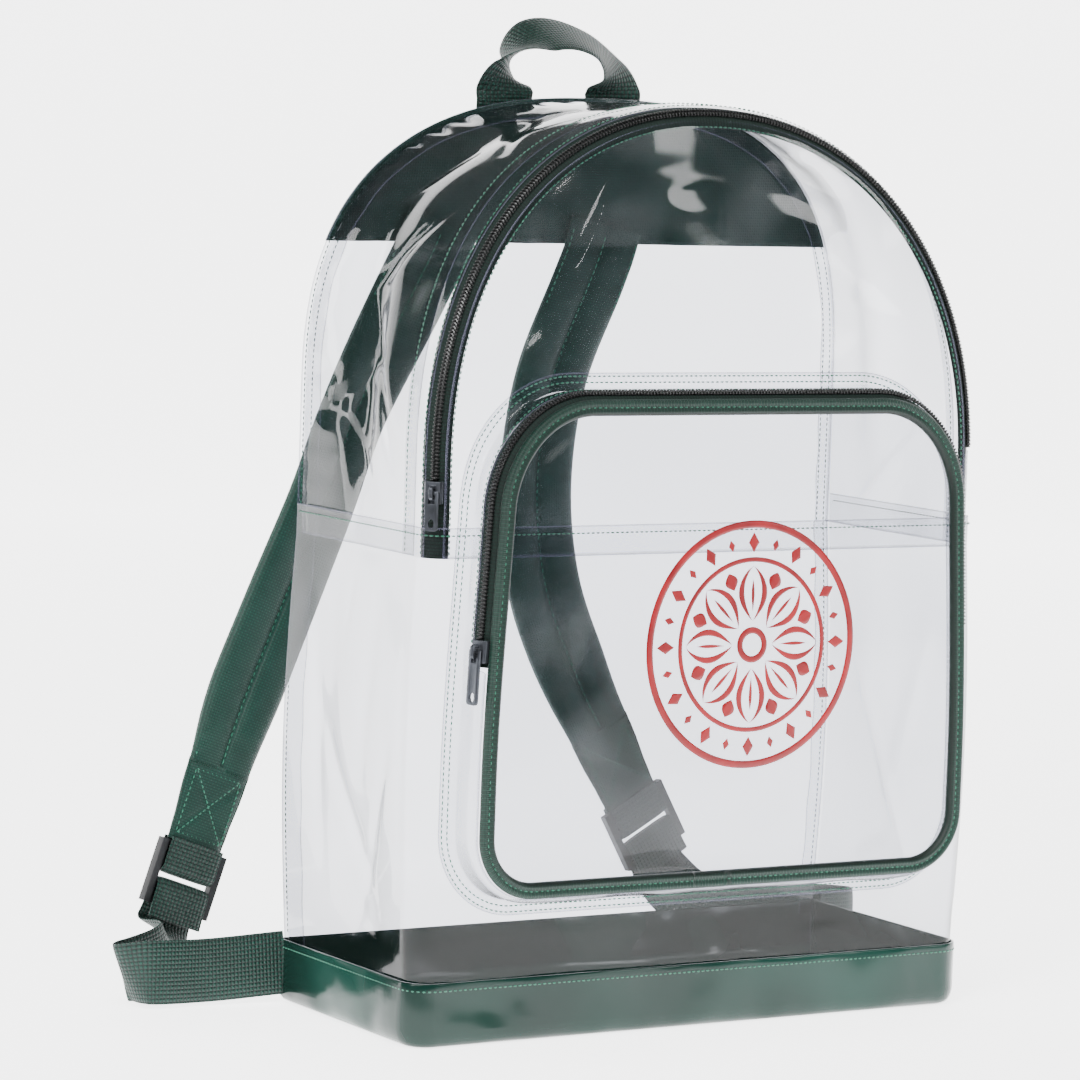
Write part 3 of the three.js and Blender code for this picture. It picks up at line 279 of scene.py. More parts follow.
def thicken(piece, thickness):
    """Gives a sheet its wall, thickness in millimetres, half on either side of the sheet."""
    wall = piece.modifiers.new("Wall", "SOLIDIFY")
    wall.thickness = thickness * MM
    wall.offset = 0.0
    wall.use_even_offset = True


def steps(start, end, spacing):
    """Places from start up to end about spacing apart, with one more just inside either end."""
    places = np.linspace(start, end, int(round((end - start) / spacing)) + 1)
    return np.sort(np.concatenate([places, [start + EDGE_WIDTH, end - EDGE_WIDTH]]))


def near_edge(*distances):
    """1 at a cut edge, fading to 0 at 0.9 mm from it, for the nearest of some distances in mm."""
    nearest = np.min(np.broadcast_arrays(*distances), axis=0)
    return np.clip(1 - np.abs(nearest) / EDGE_WIDTH, 0, 1)


def dents(table, along, across):
    """A sum of round bumps, depth * exp(-(da / length)^2 - (db / breadth)^2), in mm."""
    total = np.zeros(np.broadcast(along, across).shape)
    for a, b, length, breadth, depth in table:
        total += depth * np.exp(-((along - a) / length) ** 2 - ((across - b) / breadth) ** 2)
    return total


def creases(table, along, across):
    """A sum of soft ridges along straight segments: height * exp(-(distance / width)^2), which
    falls to nothing at the segment's two ends as sin(pi share)^0.6."""
    total = np.zeros(np.broadcast(along, across).shape)
    for a0, b0, a1, b1, height, width in table:
        run = np.hypot(a1 - a0, b1 - b0)
        da, db = (a1 - a0) / run, (b1 - b0) / run
        share = ((along - a0) * da + (across - b0) * db) / run
        aside = (across - b0) * da - (along - a0) * db
        fade = np.sin(np.pi * np.clip(share, 0, 1)) ** 0.6
        total += height * fade * np.exp(-(aside / width) ** 2)
    return total


# Materials


def add(tree, kind, inputs=None, **settings):
    """Adds a node to a tree, sets its properties, and sets or links its inputs."""
    made = tree.nodes.new(kind)
    for key, value in settings.items():
        setattr(made, key, value)
    for key, value in (inputs or {}).items():
        if isinstance(value, bpy.types.NodeSocket):
            tree.links.new(value, made.inputs[key])
        else:
            made.inputs[key].default_value = value
    return made


def new_material(name):
    """An empty node material and its tree, with the output node still to be linked."""
    material = bpy.data.materials.new(name)
    material.use_nodes = True
    material.node_tree.nodes.clear()
    return material, material.node_tree


def finish_material(tree, shader):
    """Links a shader's first output to the surface."""
    add(tree, "ShaderNodeOutputMaterial", {"Surface": shader.outputs[0]})


def ramp(tree, value, stops):
    """A colour ramp over a value. Stops are (place, colour) pairs."""
    made = add(tree, "ShaderNodeValToRGB", {"Fac": value})
    elements = made.color_ramp.elements
    while len(elements) < len(stops):
        elements.new(0.5)
    for element, (place, colour) in zip(elements, stops):
        element.position = place
        element.color = colour
    return made.outputs["Color"]


def shade(colour, factor):
    """A colour made lighter or darker."""
    return (*[min(c * factor, 1.0) for c in colour[:3]], 1.0)


def pvc_sheet():
    """Plasticised PVC film, calendered smooth: clear with a faint lilac-grey cast, glossy, and never
    quite flat, so that its reflections break up into cloudy patches. Cut edges look grey."""
    look = bpy.context.scene.backpack_vinyl
    material, tree = new_material("plasticised_pvc_film")
    place = add(tree, "ShaderNodeTexCoord").outputs["Object"]
    wide = add(tree, "ShaderNodeTexNoise", {"Vector": place, "Scale": 18.0, "Detail": 0.0})
    bump = add(tree, "ShaderNodeBump",
               {"Height": wide.outputs["Fac"], "Distance": look.wave * 5, "Strength": 1.0})
    facing = add(tree, "ShaderNodeLayerWeight", {"Blend": 0.5}).outputs["Facing"]
    tint = (*look.tint, 1)
    through = ramp(tree, facing, [
        (0.0, tint), (0.3, shade(tint, 0.97)), (0.55, shade(tint, 0.8)), (0.8, shade(tint, 0.5)),
        (1.0, shade(tint, 0.25))])
    clear = add(tree, "ShaderNodeBsdfTransparent", {"Color": through})
    gloss = add(tree, "ShaderNodeBsdfGlossy", {"Color": (1, 1, 1, 1), "Roughness": look.gloss,
                                               "Normal": bump.outputs[0]})
    steep = add(tree, "ShaderNodeMath", {0: facing, 1: 4.2}, operation="POWER")
    mirror = add(tree, "ShaderNodeMath", {0: steep.outputs[0], 1: 0.85, 2: 0.024},
                 operation="MULTIPLY_ADD", use_clamp=True)
    sheet = add(tree, "ShaderNodeMixShader",
                {0: mirror.outputs[0], 1: clear.outputs[0], 2: gloss.outputs[0]})
    body = add(tree, "ShaderNodeBsdfDiffuse", {"Color": (*look.edge, 1)})
    edge = add(tree, "ShaderNodeAttribute", attribute_name="edge").outputs["Fac"]
    solid = add(tree, "ShaderNodeMath", {0: edge, 1: 0.62}, operation="MULTIPLY", use_clamp=True)
    both = add(tree, "ShaderNodeMixShader",
               {0: solid.outputs[0], 1: sheet.outputs[0], 2: body.outputs[0]})
    finish_material(tree, both)
    return material


def green_pvc():
    """Opaque PVC sheeting, pigmented green and laid under clear film: glossy as wet paint, with soft
    cloudy highlights over shallow waves."""
    colour = (*bpy.context.scene.backpack_trim.base, 1)
    material, tree = new_material("pigmented_pvc_sheet")
    place = add(tree, "ShaderNodeTexCoord").outputs["Object"]
    cloud = add(tree, "ShaderNodeTexNoise", {"Vector": place, "Scale": 16.0, "Detail": 0.0})
    tone = ramp(tree, cloud.outputs["Fac"],
                [(0.3, shade(colour, 0.62)), (0.55, colour), (0.75, shade(colour, 1.6))])
    wave = add(tree, "ShaderNodeTexNoise", {"Vector": place, "Scale": 24.0, "Detail": 0.6})
    bump = add(tree, "ShaderNodeBump", {"Height": wave.outputs["Fac"], "Distance": 0.009, "Strength": 1.0})
    grain = add(tree, "ShaderNodeTexNoise", {"Vector": place, "Scale": 60.0, "Detail": 1.0})
    rough = add(tree, "ShaderNodeMapRange", {"Value": grain.outputs["Fac"], "To Min": 0.12, "To Max": 0.26})
    finish_material(tree, add(tree, "ShaderNodeBsdfPrincipled", {
        "Base Color": tone, "Roughness": rough.outputs[0], "IOR": 1.53, "Specular IOR Level": 0.22,
        "Coat Weight": 0.12, "Coat Roughness": 0.1, "Normal": bump.outputs[0]}))
    return material


def woven(name, colour, across, along, height, roughness, sheen, depth=0.28):
    """Cloth whose threads cross every across and along millimetres: a plain weave of rounded threads,
    sin(x) * sin(y) raised and sunk in turn, read from the piece's own coordinates in millimetres. Its
    colour carries painted shade in the gaps between threads, down to depth times the colour, and a
    painted highlight on the raised threads."""
    material, tree = new_material(name)
    split = add(tree, "ShaderNodeSeparateXYZ",
                {0: add(tree, "ShaderNodeAttribute", attribute_name="weave").outputs["Vector"]})
    turns = []
    for axis, pitch in ((0, across), (1, along)):
        angle = add(tree, "ShaderNodeMath", {0: split.outputs[axis], 1: math.pi / pitch},
                    operation="MULTIPLY")
        turns.append(add(tree, "ShaderNodeMath", {0: angle.outputs[0]}, operation="SINE").outputs[0])
    cross = add(tree, "ShaderNodeMath", {0: turns[0], 1: turns[1]}, operation="MULTIPLY")
    raised = add(tree, "ShaderNodeMath", {0: cross.outputs[0]}, operation="ABSOLUTE")
    lie = add(tree, "ShaderNodeMath", {0: cross.outputs[0], 1: 0.25, 2: raised.outputs[0]},
              operation="MULTIPLY_ADD")
    uneven = add(tree, "ShaderNodeTexNoise", {
        "Vector": add(tree, "ShaderNodeTexCoord").outputs["Object"], "Scale": 60.0, "Detail": 3.0})
    # Painted shade and highlight: the gaps between threads are darkened to depth times the colour, and the
    # raised threads are lightened as if lit.
    bright = shade(colour, 1.75 - depth / 2)
    tone = ramp(tree, lie.outputs[0], [(0.0, shade(colour, depth)), (0.45, colour), (1.0, bright)])
    patch = ramp(tree, uneven.outputs["Fac"], [(0.3, (0.78, 0.78, 0.78, 1)), (0.7, (1, 1, 1, 1))])
    both = add(tree, "ShaderNodeMix", {0: 1.0, 6: tone, 7: patch}, data_type="RGBA", blend_type="MULTIPLY")
    bump = add(tree, "ShaderNodeBump", {"Height": lie.outputs[0], "Distance": height * MM, "Strength": 1.0})
    finish_material(tree, add(tree, "ShaderNodeBsdfPrincipled", {
        "Base Color": both.outputs[2], "Roughness": roughness, "Specular IOR Level": 0.35,
        "Sheen Weight": sheen, "Sheen Roughness": 0.4, "Normal": bump.outputs[0]}))
    return material


def nylon_oxford():
    """Coated nylon oxford: a fine basket weave with a soft silky sheen. The real threads, 0.4 mm apart,
    are too fine to show, so they are drawn 1.3 mm apart."""
    return woven("coated_nylon_oxford", (*bpy.context.scene.backpack_trim.nylon, 1),
                 1.3, 1.3, 0.12, 0.44, 0.08, 0.62)


def polypropylene_webbing():
    """Polypropylene webbing: thick shiny yarns in a coarse weave, 2 mm from one to the next."""
    return woven("polypropylene_webbing", (*bpy.context.scene.backpack_trim.webbing, 1),
                 2.0, 1.8, 0.5, 0.5, 0.05, 0.18)


def polyester_tape():
    """Knitted polyester zip tape: flat and matt, with ribs along it 0.8 mm apart."""
    return woven("polyester_zip_tape", linear("#08211a"), 0.8, 1.6, 0.12, 0.72, 0.05)


def grosgrain_tape():
    """Grosgrain binding: silky cloth with ribs across it, 0.9 mm apart."""
    return woven("grosgrain_binding", linear("#062a20"), 9.0, 0.9, 0.16, 0.5, 0.1)


def sewing_thread():
    """Twisted polyester thread: a little shiny, its plies 0.4 mm apart."""
    colour = (*bpy.context.scene.backpack_trim.thread, 1)
    material, tree = new_material("polyester_thread")
    place = add(tree, "ShaderNodeTexCoord").outputs["Object"]
    ply = add(tree, "ShaderNodeTexNoise", {"Vector": place, "Scale": 900.0, "Detail": 1.0})
    tone = ramp(tree, ply.outputs["Fac"], [(0.3, shade(colour, 0.7)), (0.7, shade(colour, 1.35))])
    finish_material(tree, add(tree, "ShaderNodeBsdfPrincipled", {
        "Base Color": tone, "Roughness": 0.5, "Sheen Weight": 0.3}))
    return material


def moulded(name, colour, roughness, speck, metallic=0.0):
    """A moulded or cast surface: nearly one colour, with a fine grain in its gloss and relief."""
    material, tree = new_material(name)
    place = add(tree, "ShaderNodeTexCoord").outputs["Object"]
    grain = add(tree, "ShaderNodeTexNoise", {"Vector": place, "Scale": speck, "Detail": 3.0})
    wear = add(tree, "ShaderNodeTexNoise", {"Vector": place, "Scale": speck / 9, "Detail": 2.0})
    tone = ramp(tree, wear.outputs["Fac"], [(0.3, shade(colour, 0.8)), (0.75, shade(colour, 1.35))])
    rough = add(tree, "ShaderNodeMapRange", {
        "Value": wear.outputs["Fac"], "To Min": roughness * 0.8, "To Max": min(roughness * 1.3, 1)})
    bump = add(tree, "ShaderNodeBump",
               {"Height": grain.outputs["Fac"], "Distance": 0.00004, "Strength": 0.5})
    finish_material(tree, add(tree, "ShaderNodeBsdfPrincipled", {
        "Base Color": tone, "Roughness": rough.outputs[0], "Metallic": metallic,
        "Normal": bump.outputs[0]}))
    return material


def nylon_coil():
    """Nylon monofilament, dyed black and wound into the zip's coil: smooth and fairly glossy."""
    return moulded("nylon_monofilament", linear("#0b0d0c"), 0.3, 900.0)


def acetal():
    """Acetal, injection moulded black: a satin finish with a fine spark-eroded grain."""
    return moulded("black_acetal", linear("#17181a"), 0.42, 1500.0)


def plated_zinc():
    """Die-cast zinc with a dark electroplated coat: satin metal, a little lighter at worn edges."""
    return moulded("gunmetal_plated_zinc", linear("#4b4e54"), 0.36, 1200.0, metallic=0.85)


def screen_ink():
    """Vinyl screen ink: an even, slightly glossy film with a faint mesh pattern."""
    return moulded("vinyl_screen_ink", (*bpy.context.scene.backpack_trim.print_ink, 1), 0.38, 700.0)


MAKERS = {
    "sheet": pvc_sheet, "base": green_pvc, "nylon": nylon_oxford, "webbing": polypropylene_webbing,
    "tape": polyester_tape, "binding": grosgrain_tape, "thread": sewing_thread, "coil": nylon_coil,
    "plastic": acetal, "metal": plated_zinc, "ink": screen_ink,
}
made_materials = {}


def finish_of(key):
    """The material of that name, made the first time that it is asked for."""
    if key not in made_materials:
        made_materials[key] = MAKERS[key]()
    return made_materials[key]


# The bag's outlines


def front_y(z):
    """The front leans back above the mid seam by 12 mm times the squared share of the way up."""
    return -FACE + LEAN * (np.maximum(z - MID_SEAM, 0) / (BACK_CROWN - MID_SEAM)) ** 2


def back_y(z):
    """The back leans forward in the same way above 290 mm."""
    return FACE - LEAN * (np.maximum(z - BACK_SPRING, 0) / (BACK_CROWN - BACK_SPRING)) ** 2


def bow(z):
    """How far the lower body swells at a height: half a sine wave from the base to the lap."""
    return np.sin(np.pi * np.clip((z - BASE_TOP) / (FOOT - BASE_TOP), 0, 1))


class Outline:
    """A flat line of x and z, read by its share of the whole length, with its outward normal."""

    def __init__(self, x, z, closed=False):
        self.closed = closed
        length = np.concatenate([[0], np.cumsum(np.hypot(np.diff(x), np.diff(z)))])
        self.length = length[-1]
        self.share = length / self.length
        self.x, self.z = x, z

    def place(self, share):
        """The points at shares of the length."""
        share = share % 1 if self.closed else np.clip(share, 0, 1)
        return np.interp(share, self.share, self.x), np.interp(share, self.share, self.z)

    def normal(self, share):
        """Square to the line between the points a little before and after."""
        reach = 0.004
        ahead, behind = self.place(share + reach), self.place(share - reach)
        dx, dz = ahead[0] - behind[0], ahead[1] - behind[1]
        run = np.hypot(dx, dz)
        return -dz / run, dx / run

    def share_at(self, z, left):
        """The share where the line passes a height on one side."""
        side = self.x < 0 if left else self.x > 0
        nearest = np.where(side, np.abs(self.z - z), np.inf)
        return float(self.share[int(np.argmin(nearest))])


def arch(spring, power, top):
    """Upright sides, then half a superellipse: x = -151 cos^(2/p), z = spring + rise sin^(2/p)."""
    turn = np.linspace(0, np.pi, 4001)
    c, s = np.cos(turn), np.maximum(np.sin(turn), 0)
    x = -HALF * np.sign(c) * np.abs(c) ** (2 / power)
    z = spring + (top - spring) * s ** (2 / power)
    up = np.arange(FOOT, spring, 0.25)
    edge = np.full(len(up), HALF)
    return Outline(np.concatenate([-edge, x, edge]), np.concatenate([up, z, up[::-1]]))


FRONT_LINE = arch(FRONT_SPRING, FRONT_POWER, FRONT_CROWN)
BACK_LINE = arch(BACK_SPRING, BACK_POWER, BACK_CROWN)


def back_half(z):
    """Half the width of the back at a height: a superellipse above its spring."""
    share = np.clip((z - BACK_SPRING) / (BACK_CROWN - BACK_SPRING), 0, 1)
    return HALF * np.maximum(1 - share ** BACK_POWER, 0) ** (1 / BACK_POWER)


def gusset(share, y, inset):
    """A point of the gusset: straight between the front and the back outline at one share of their
    lengths, moved inwards by inset along the mixed normal."""
    (fx, fz), (bx, bz) = FRONT_LINE.place(share), BACK_LINE.place(share)
    (fnx, fnz), (bnx, bnz) = FRONT_LINE.normal(share), BACK_LINE.normal(share)
    start = front_y(fz)
    t = (y - start) / (back_y(bz) - start)
    nx, nz = mix(fnx, bnx, t), mix(fnz, bnz, t)
    size = np.hypot(nx, nz)
    return stack(mix(fx, bx, t) - nx / size * inset, y, mix(fz, bz, t) - nz / size * inset)


def upper_skin(share, d, inset):
    """The upper body by its distance d from the middle of the main zip: back along the gusset below
    -9.4 mm, round the 12 mm corner, and flat in over the front beyond 9.4 mm."""
    share, d, inset = np.broadcast_arrays(share, d, inset)
    x, z = FRONT_LINE.place(share)
    nx, nz = FRONT_LINE.normal(share)
    edge = front_y(z)
    side = gusset(share, edge + CORNER - np.minimum(d, -QUARTER) - QUARTER, inset)
    turn = math.pi / 4 + np.clip(d, -QUARTER, QUARTER) / CORNER
    radius = CORNER - inset
    inward = CORNER - radius * np.cos(turn)
    corner = stack(x - nx * inward, edge + CORNER - radius * np.sin(turn), z - nz * inward)
    deep = CORNER + d - QUARTER
    flat_z = z - nz * deep
    flat = stack(x - nx * deep, front_y(flat_z) + inset, flat_z)
    inner = (d > QUARTER)[..., None]
    outer = (d < -QUARTER)[..., None]
    return np.where(inner, flat, np.where(outer, side, corner))


def strip_rings(skin, shares, places, inset, thickness):
    """Rings of a flat band on a skin: out along the places, then back thickness deeper."""
    s = shares[:, None]
    outer = skin(s, places[None, :], inset)
    inner = skin(s, places[::-1][None, :], inset + thickness)
    return np.concatenate([outer, inner], 1)


def ring_weave(rings, across):
    """Thread coordinates of a band in millimetres: across it, and along it by its length."""
    middle = rings.mean(1)
    run = np.concatenate([[0], np.cumsum(np.linalg.norm(np.diff(middle, axis=0), axis=1))])
    both = np.concatenate([across, across[::-1]])
    return stack(both[None, :], run[:, None], 0.0)


def make_band(name, rings, across, material, nodes=(), closed=False):
    """A closed band through rings, with its thread coordinates."""
    rows, size = rings.shape[:2]
    weave = ring_weave(rings, across)
    return make_piece(name, rings, tube_faces(rows, size, closed), material, nodes,
                      inside=rings.mean((0, 1)), fields={"weave": weave.reshape(-1, 3)})


# Stitches and coils


def resample(line, normals, pitch, closed=False):
    """Points every pitch along a line, with the line's direction and its surface normal there."""
    if closed:
        line = np.concatenate([line, line[:1]])
        normals = np.concatenate([normals, normals[:1]])
    run = np.concatenate([[0], np.cumsum(np.linalg.norm(np.diff(line, axis=0), axis=1))])
    count = max(int(run[-1] / pitch), 1)
    at = (np.arange(count) + 0.5) * run[-1] / count
    read = lambda values, where: np.stack([np.interp(where, run, values[:, k]) for k in range(3)], -1)
    along = unit(read(line, at + pitch * 0.3) - read(line, at - pitch * 0.3))
    out = read(normals, at)
    out = unit(out - along * np.sum(out * along, -1, keepdims=True))
    return read(line, at), along, out


DASH_RINGS = 5
DASH_SIDES = 6


def dashes(at, along, out, length, width, height, sink):
    """Small rounded dashes, one at each place: five rings of points whose radius goes as
    sin(pi t)^0.5, and which rise over the surface and dip into it at both ends."""
    t = np.array([0.02, 0.2, 0.5, 0.8, 0.98])
    angle = np.linspace(0, 2 * np.pi, DASH_SIDES, endpoint=False)
    swell = np.sin(np.pi * t) ** 0.5
    aside = np.cross(along, out)
    run = (t - 0.5)[None, :, None, None] * length
    wide = (swell[:, None] * np.cos(angle))[None, :, :, None] * width / 2
    high = (swell[:, None] * np.sin(angle) * height / 2 + (swell[:, None] - 1) * sink)[None, :, :, None]
    frame_of = lambda v: v[:, None, None, :]
    return frame_of(at) + frame_of(along) * run + frame_of(aside) * wide + frame_of(out) * high


def dash_faces(count):
    """Faces of all the dashes: their sides, and two quads over each end."""
    one = grid_faces(DASH_RINGS, DASH_SIDES, False, True)
    low = np.array([[0, 5, 4, 1], [1, 4, 3, 2]])
    high = (DASH_RINGS - 1) * DASH_SIDES + low[:, ::-1]
    one = np.concatenate([one, low, high])
    return (one[None] + (np.arange(count) * DASH_RINGS * DASH_SIDES)[:, None, None]).reshape(-1, 4)


def dash_piece(name, groups, material, nodes=()):
    """One piece of many groups of dashes."""
    points = np.concatenate([g.reshape(-1, DASH_RINGS, DASH_SIDES, 3) for g in groups])
    faces = dash_faces(len(points))
    sample = signed_volume(points[0].reshape(-1, 3), dash_faces(1), points[0].mean((0, 1)))
    if sample < 0:
        faces = faces[:, ::-1]
    flat = points.reshape(-1, 3)
    return make_piece(name, flat, faces, material, nodes, inside=flat.mean(0))


def stitch_row(line, normals, lift=0.15, closed=False, spacing=1.0):
    """Stitches along a line that lies on a surface."""
    sizes = bpy.context.scene.backpack_stitch
    pitch = sizes.pitch / MM * spacing
    at, along, out = resample(np.asarray(line), np.asarray(normals), pitch, closed)
    thick = sizes.thickness / MM
    return dashes(at + out * lift, along, out, sizes.length / MM * spacing, thick * 1.2, thick, thick * 0.8)


def skin_line(skin, shares, d, inset):
    """A line on a skin at a distance d, and the outward normals there."""
    line = skin(shares, np.full_like(shares, d), np.full_like(shares, inset))
    above = skin(shares, np.full_like(shares, d), np.full_like(shares, inset - 1))
    return line, unit(above - line)


# The body


def tub_outline(inset):
    """A loop round the base: straight sides with 13.5 mm corners in front and 2.5 mm ones behind."""
    points = []
    for sx, sy, first in ((1, 1, 0), (-1, 1, 1), (-1, -1, 2), (1, -1, 3)):
        radius = max((TUB_BACK_RADIUS if sy > 0 else TUB_FRONT_RADIUS) - inset, 0.3)
        angle = np.linspace(0, np.pi / 2, 9) + first * np.pi / 2
        x = sx * (TUB_HALF_WIDTH - inset - radius) + radius * np.cos(angle)
        y = sy * (TUB_HALF_DEPTH - inset - radius) + radius * np.sin(angle)
        points.append(np.stack([x, y], -1))
    corner = np.concatenate(points)
    loop = np.concatenate([corner, corner[:1]])
    run = np.concatenate([[0], np.cumsum(np.linalg.norm(np.diff(loop, axis=0), axis=1))])
    even = np.arange(0, run[-1], 2.6)
    at = np.sort(np.concatenate([even, run[1:]]))[:-1]
    return np.stack([np.interp(at, run, loop[:, 0]), np.interp(at, run, loop[:, 1])], -1)


BASE_CREASES = [
    (-120, 22, -98, 5, -1.1, 3.0), (-105, 26, -74, 9, -0.8, 3.5), (-58, 24, -30, 6, -0.6, 4.0),
    (46, 25, 62, 6, -0.5, 4.0), (118, 24, 131, 6, -1.2, 3.0), (131, 26, 139, 8, -1.0, 2.5),
]
BASE_SIDE_CREASES = [(-40, 24, -22, 6, -0.9, 3.5), (10, 26, 30, 8, -0.8, 4), (44, 25, 52, 6, -1, 3)]


def base_point(x, y, z):
    """Wrinkles of the base: creases across the front and both sides, and slow waves in its hem."""
    front = smooth(-y, 50, 62)
    side = smooth(np.abs(x), 140, 150)
    sunk = creases(BASE_CREASES, x, z) * front
    sunk = sunk + side * creases(BASE_SIDE_CREASES, y, z)
    wave = 0.45 * np.sin(x / 17 + 0.6) * np.sin(y / 23) * smooth(z, 3, 12)
    return -(sunk + wave) * smooth(z, 2, 9) * (1 - smooth(z, 24, 29))


def make_base():
    """The base: a tub through stacked loops. From the floor's middle the rows go out over the
    underside, up the rounded hem and the wall, over the folded top edge and down inside."""
    rows = [
        (60, 0), (6, 0), (4.2, 0.35), (2.4, 1.3), (1.2, 2.9), (0.4, 5.2), (0, 8), (0, 13), (0, 18),
        (0, 22.5), (0, 26.5), (-0.05, 29.2), (0.25, 29.9), (0.8, 30), (1.2, 29.4), (1.2, 22), (1.2, 13),
        (1.3, 7.4), (2.6, 4.2), (5.4, 2.1), (8.5, 1.7), (60, 1.6),
    ]
    loops = []
    for inset, z in rows:
        plan = tub_outline(max(min(inset, 12), 0))
        if inset > 12:
            plan = plan * (1 - (inset - 12) / 64 * np.array([0.35, 1.0]))
        outward = unit(plan)
        sunk = base_point(plan[:, 0], plan[:, 1], z)
        plan = plan - outward * sunk[:, None] * (inset < 1.5)
        loops.append(stack(plan[:, 0], plan[:, 1], np.full(len(plan), float(z))))
    size = min(len(loop) for loop in loops)
    even = [loop[np.linspace(0, len(loop) - 1, size).round().astype(int)] for loop in loops]
    rings = np.stack(even)
    centre_low = np.zeros((1, size, 3))
    centre_high = np.zeros((1, size, 3))
    centre_low[..., 0] = rings[0, :, 0] * 0.25
    centre_high[..., 0] = rings[-1, :, 0] * 0.25
    centre_high[..., 2] = 1.6
    rings = np.concatenate([centre_low, rings, centre_high])
    return make_piece("base_tub_vinyl", rings, grid_faces(len(rings), size, False, True),
                      finish_of("base"), ("base_tub",), inside=(0, 0, 0.8))


BODY_SIDE = 111.7
BODY_ARC = CORNER * math.pi / 2
BODY_FRONT = 278.0
BODY_LENGTH = 2 * BODY_SIDE + 2 * BODY_ARC + BODY_FRONT
BODY_DENTS = [
    (69.2, 61, 27, 48, 6), (37.2, 181, 16, 65, 3),
    (BODY_LENGTH - 69.2, 83, 27, 54, 5), (BODY_LENGTH - 37.2, 170, 16, 65, 3),
]
BODY_CREASES = [
    (30, 150, 96, 38, 1.6, 5), (100, 140, 62, 30, 1.5, 4), (84, 215, 70, 110, 1.1, 6),
    (22, 206, 38, 60, 1.3, 5), (108, 215, 112, 60, 1.0, 5), (126, 214, 120, 90, 0.9, 5),
    (150, 66, 230, 46, 0.9, 5), (62, 62, 110, 34, 1.4, 3.5), (300, 44, 392, 52, 0.9, 6),
    (398, 60, 428, 34, 1.3, 5), (172, 214, 158, 150, 0.8, 6), (60, 220, 52, 180, 1.2, 3),
    (BODY_LENGTH - 30, 150, BODY_LENGTH - 90, 42, 1.5, 5),
    (BODY_LENGTH - 90, 200, BODY_LENGTH - 60, 90, 1.2, 6),
]


def body_point(t, z, inset):
    """The lower body by the distance t along its plan: the left side from the back to the front, a
    12 mm corner, the front, a corner, and the right side to the back."""
    t, z = np.broadcast_arrays(t, z)
    b = bow(z)
    sunk = inset + (dents(BODY_DENTS, t, z) + creases(BODY_CREASES, t, z)) * b
    h = HALF + 4 * b
    mirrored = t > BODY_LENGTH / 2
    u = np.where(mirrored, BODY_LENGTH - t, t)
    side_y = np.clip(61.2 - u, -50.5, 61.2)
    turn = np.clip(u - BODY_SIDE, 0, BODY_ARC) / CORNER
    radius = CORNER - sunk
    x_side = -h + sunk
    x_arc = -h + CORNER - radius * np.cos(turn)
    y_arc = -FACE + CORNER - radius * np.sin(turn)
    share = np.clip(u - BODY_SIDE - BODY_ARC, 0, BODY_FRONT / 2) / BODY_FRONT
    x_front = mix(-h + CORNER, h - CORNER, share)
    y_front = -FACE + sunk - 3 * b * np.sin(np.pi * share)
    on_side, on_arc = u < BODY_SIDE, u < BODY_SIDE + BODY_ARC
    x = np.where(on_side, x_side, np.where(on_arc, x_arc, x_front))
    y = np.where(on_side, side_y, np.where(on_arc, y_arc, y_front))
    return stack(np.where(mirrored, -x, x), y, z)


def make_lower_body():
    """The clear wrap of front and sides, from its tuck in the base to the mid seam."""
    t = np.linspace(0, BODY_LENGTH, 270)
    z = steps(18, MID_SEAM, 2.4)
    points = body_point(t[:, None], z[None, :], SHEET_MIDDLE)
    edge = near_edge(MID_SEAM - z)
    make_clear("lower_body_sheet", points, edge, "lower_body")


GUSSET_DENTS = [
    (0.13, 0.45, 0.09, 0.12, 5), (0.24, 0.62, 0.10, 0.15, 4), (0.36, 0.5, 0.07, 0.2, 3),
    (0.66, 0.5, 0.08, 0.2, 3), (0.86, 0.55, 0.1, 0.16, 4),
]
GUSSET_CREASES = [
    (30, 4, 120, 40, 1.8, 3.5), (118, 42, 176, 6, 1.8, 3.5), (52, 62, 96, 22, 1.2, 4),
    (150, 60, 210, 34, 1.6, 4), (205, 10, 262, 52, 1.5, 4), (262, 22, 300, 60, 1.2, 4),
    (318, 8, 352, 56, 1.2, 4.5), (20, 20, 74, 58, 1.2, 4), (230, 56, 276, 30, 1.2, 3.5),
    (392, 12, 420, 60, 1.2, 5), (470, 10, 500, 58, 1.2, 5), (560, 12, 610, 56, 1.4, 5),
    (640, 8, 700, 50, 1.4, 5), (720, 52, 780, 10, 1.5, 4), (800, 10, 850, 50, 1.5, 4),
]


def gusset_sunk(share, across):
    """How far the gusset lies in from its plain form: soft dents, long creases, and short gathers
    beside the back seam, which is a little longer than the sheet."""
    run = share * BACK_LINE.length
    width = across * GUSSET_WIDTH
    soft = dents(GUSSET_DENTS, share, across)
    ridge = creases(GUSSET_CREASES, run, width)
    gather = 0.42 * np.sin(run * 2 * np.pi / 16 + 3.4 * np.sin(run / 37)) * smooth(across, 0.6, 0.98)
    gather = gather * (0.35 + 0.65 * np.exp(-((share - 0.27) / 0.16) ** 2))
    calm = np.sin(np.pi * np.clip(across, 0, 1)) ** 0.8
    return (soft + ridge) * calm + gather * (1 - smooth(across, 0.985, 1))


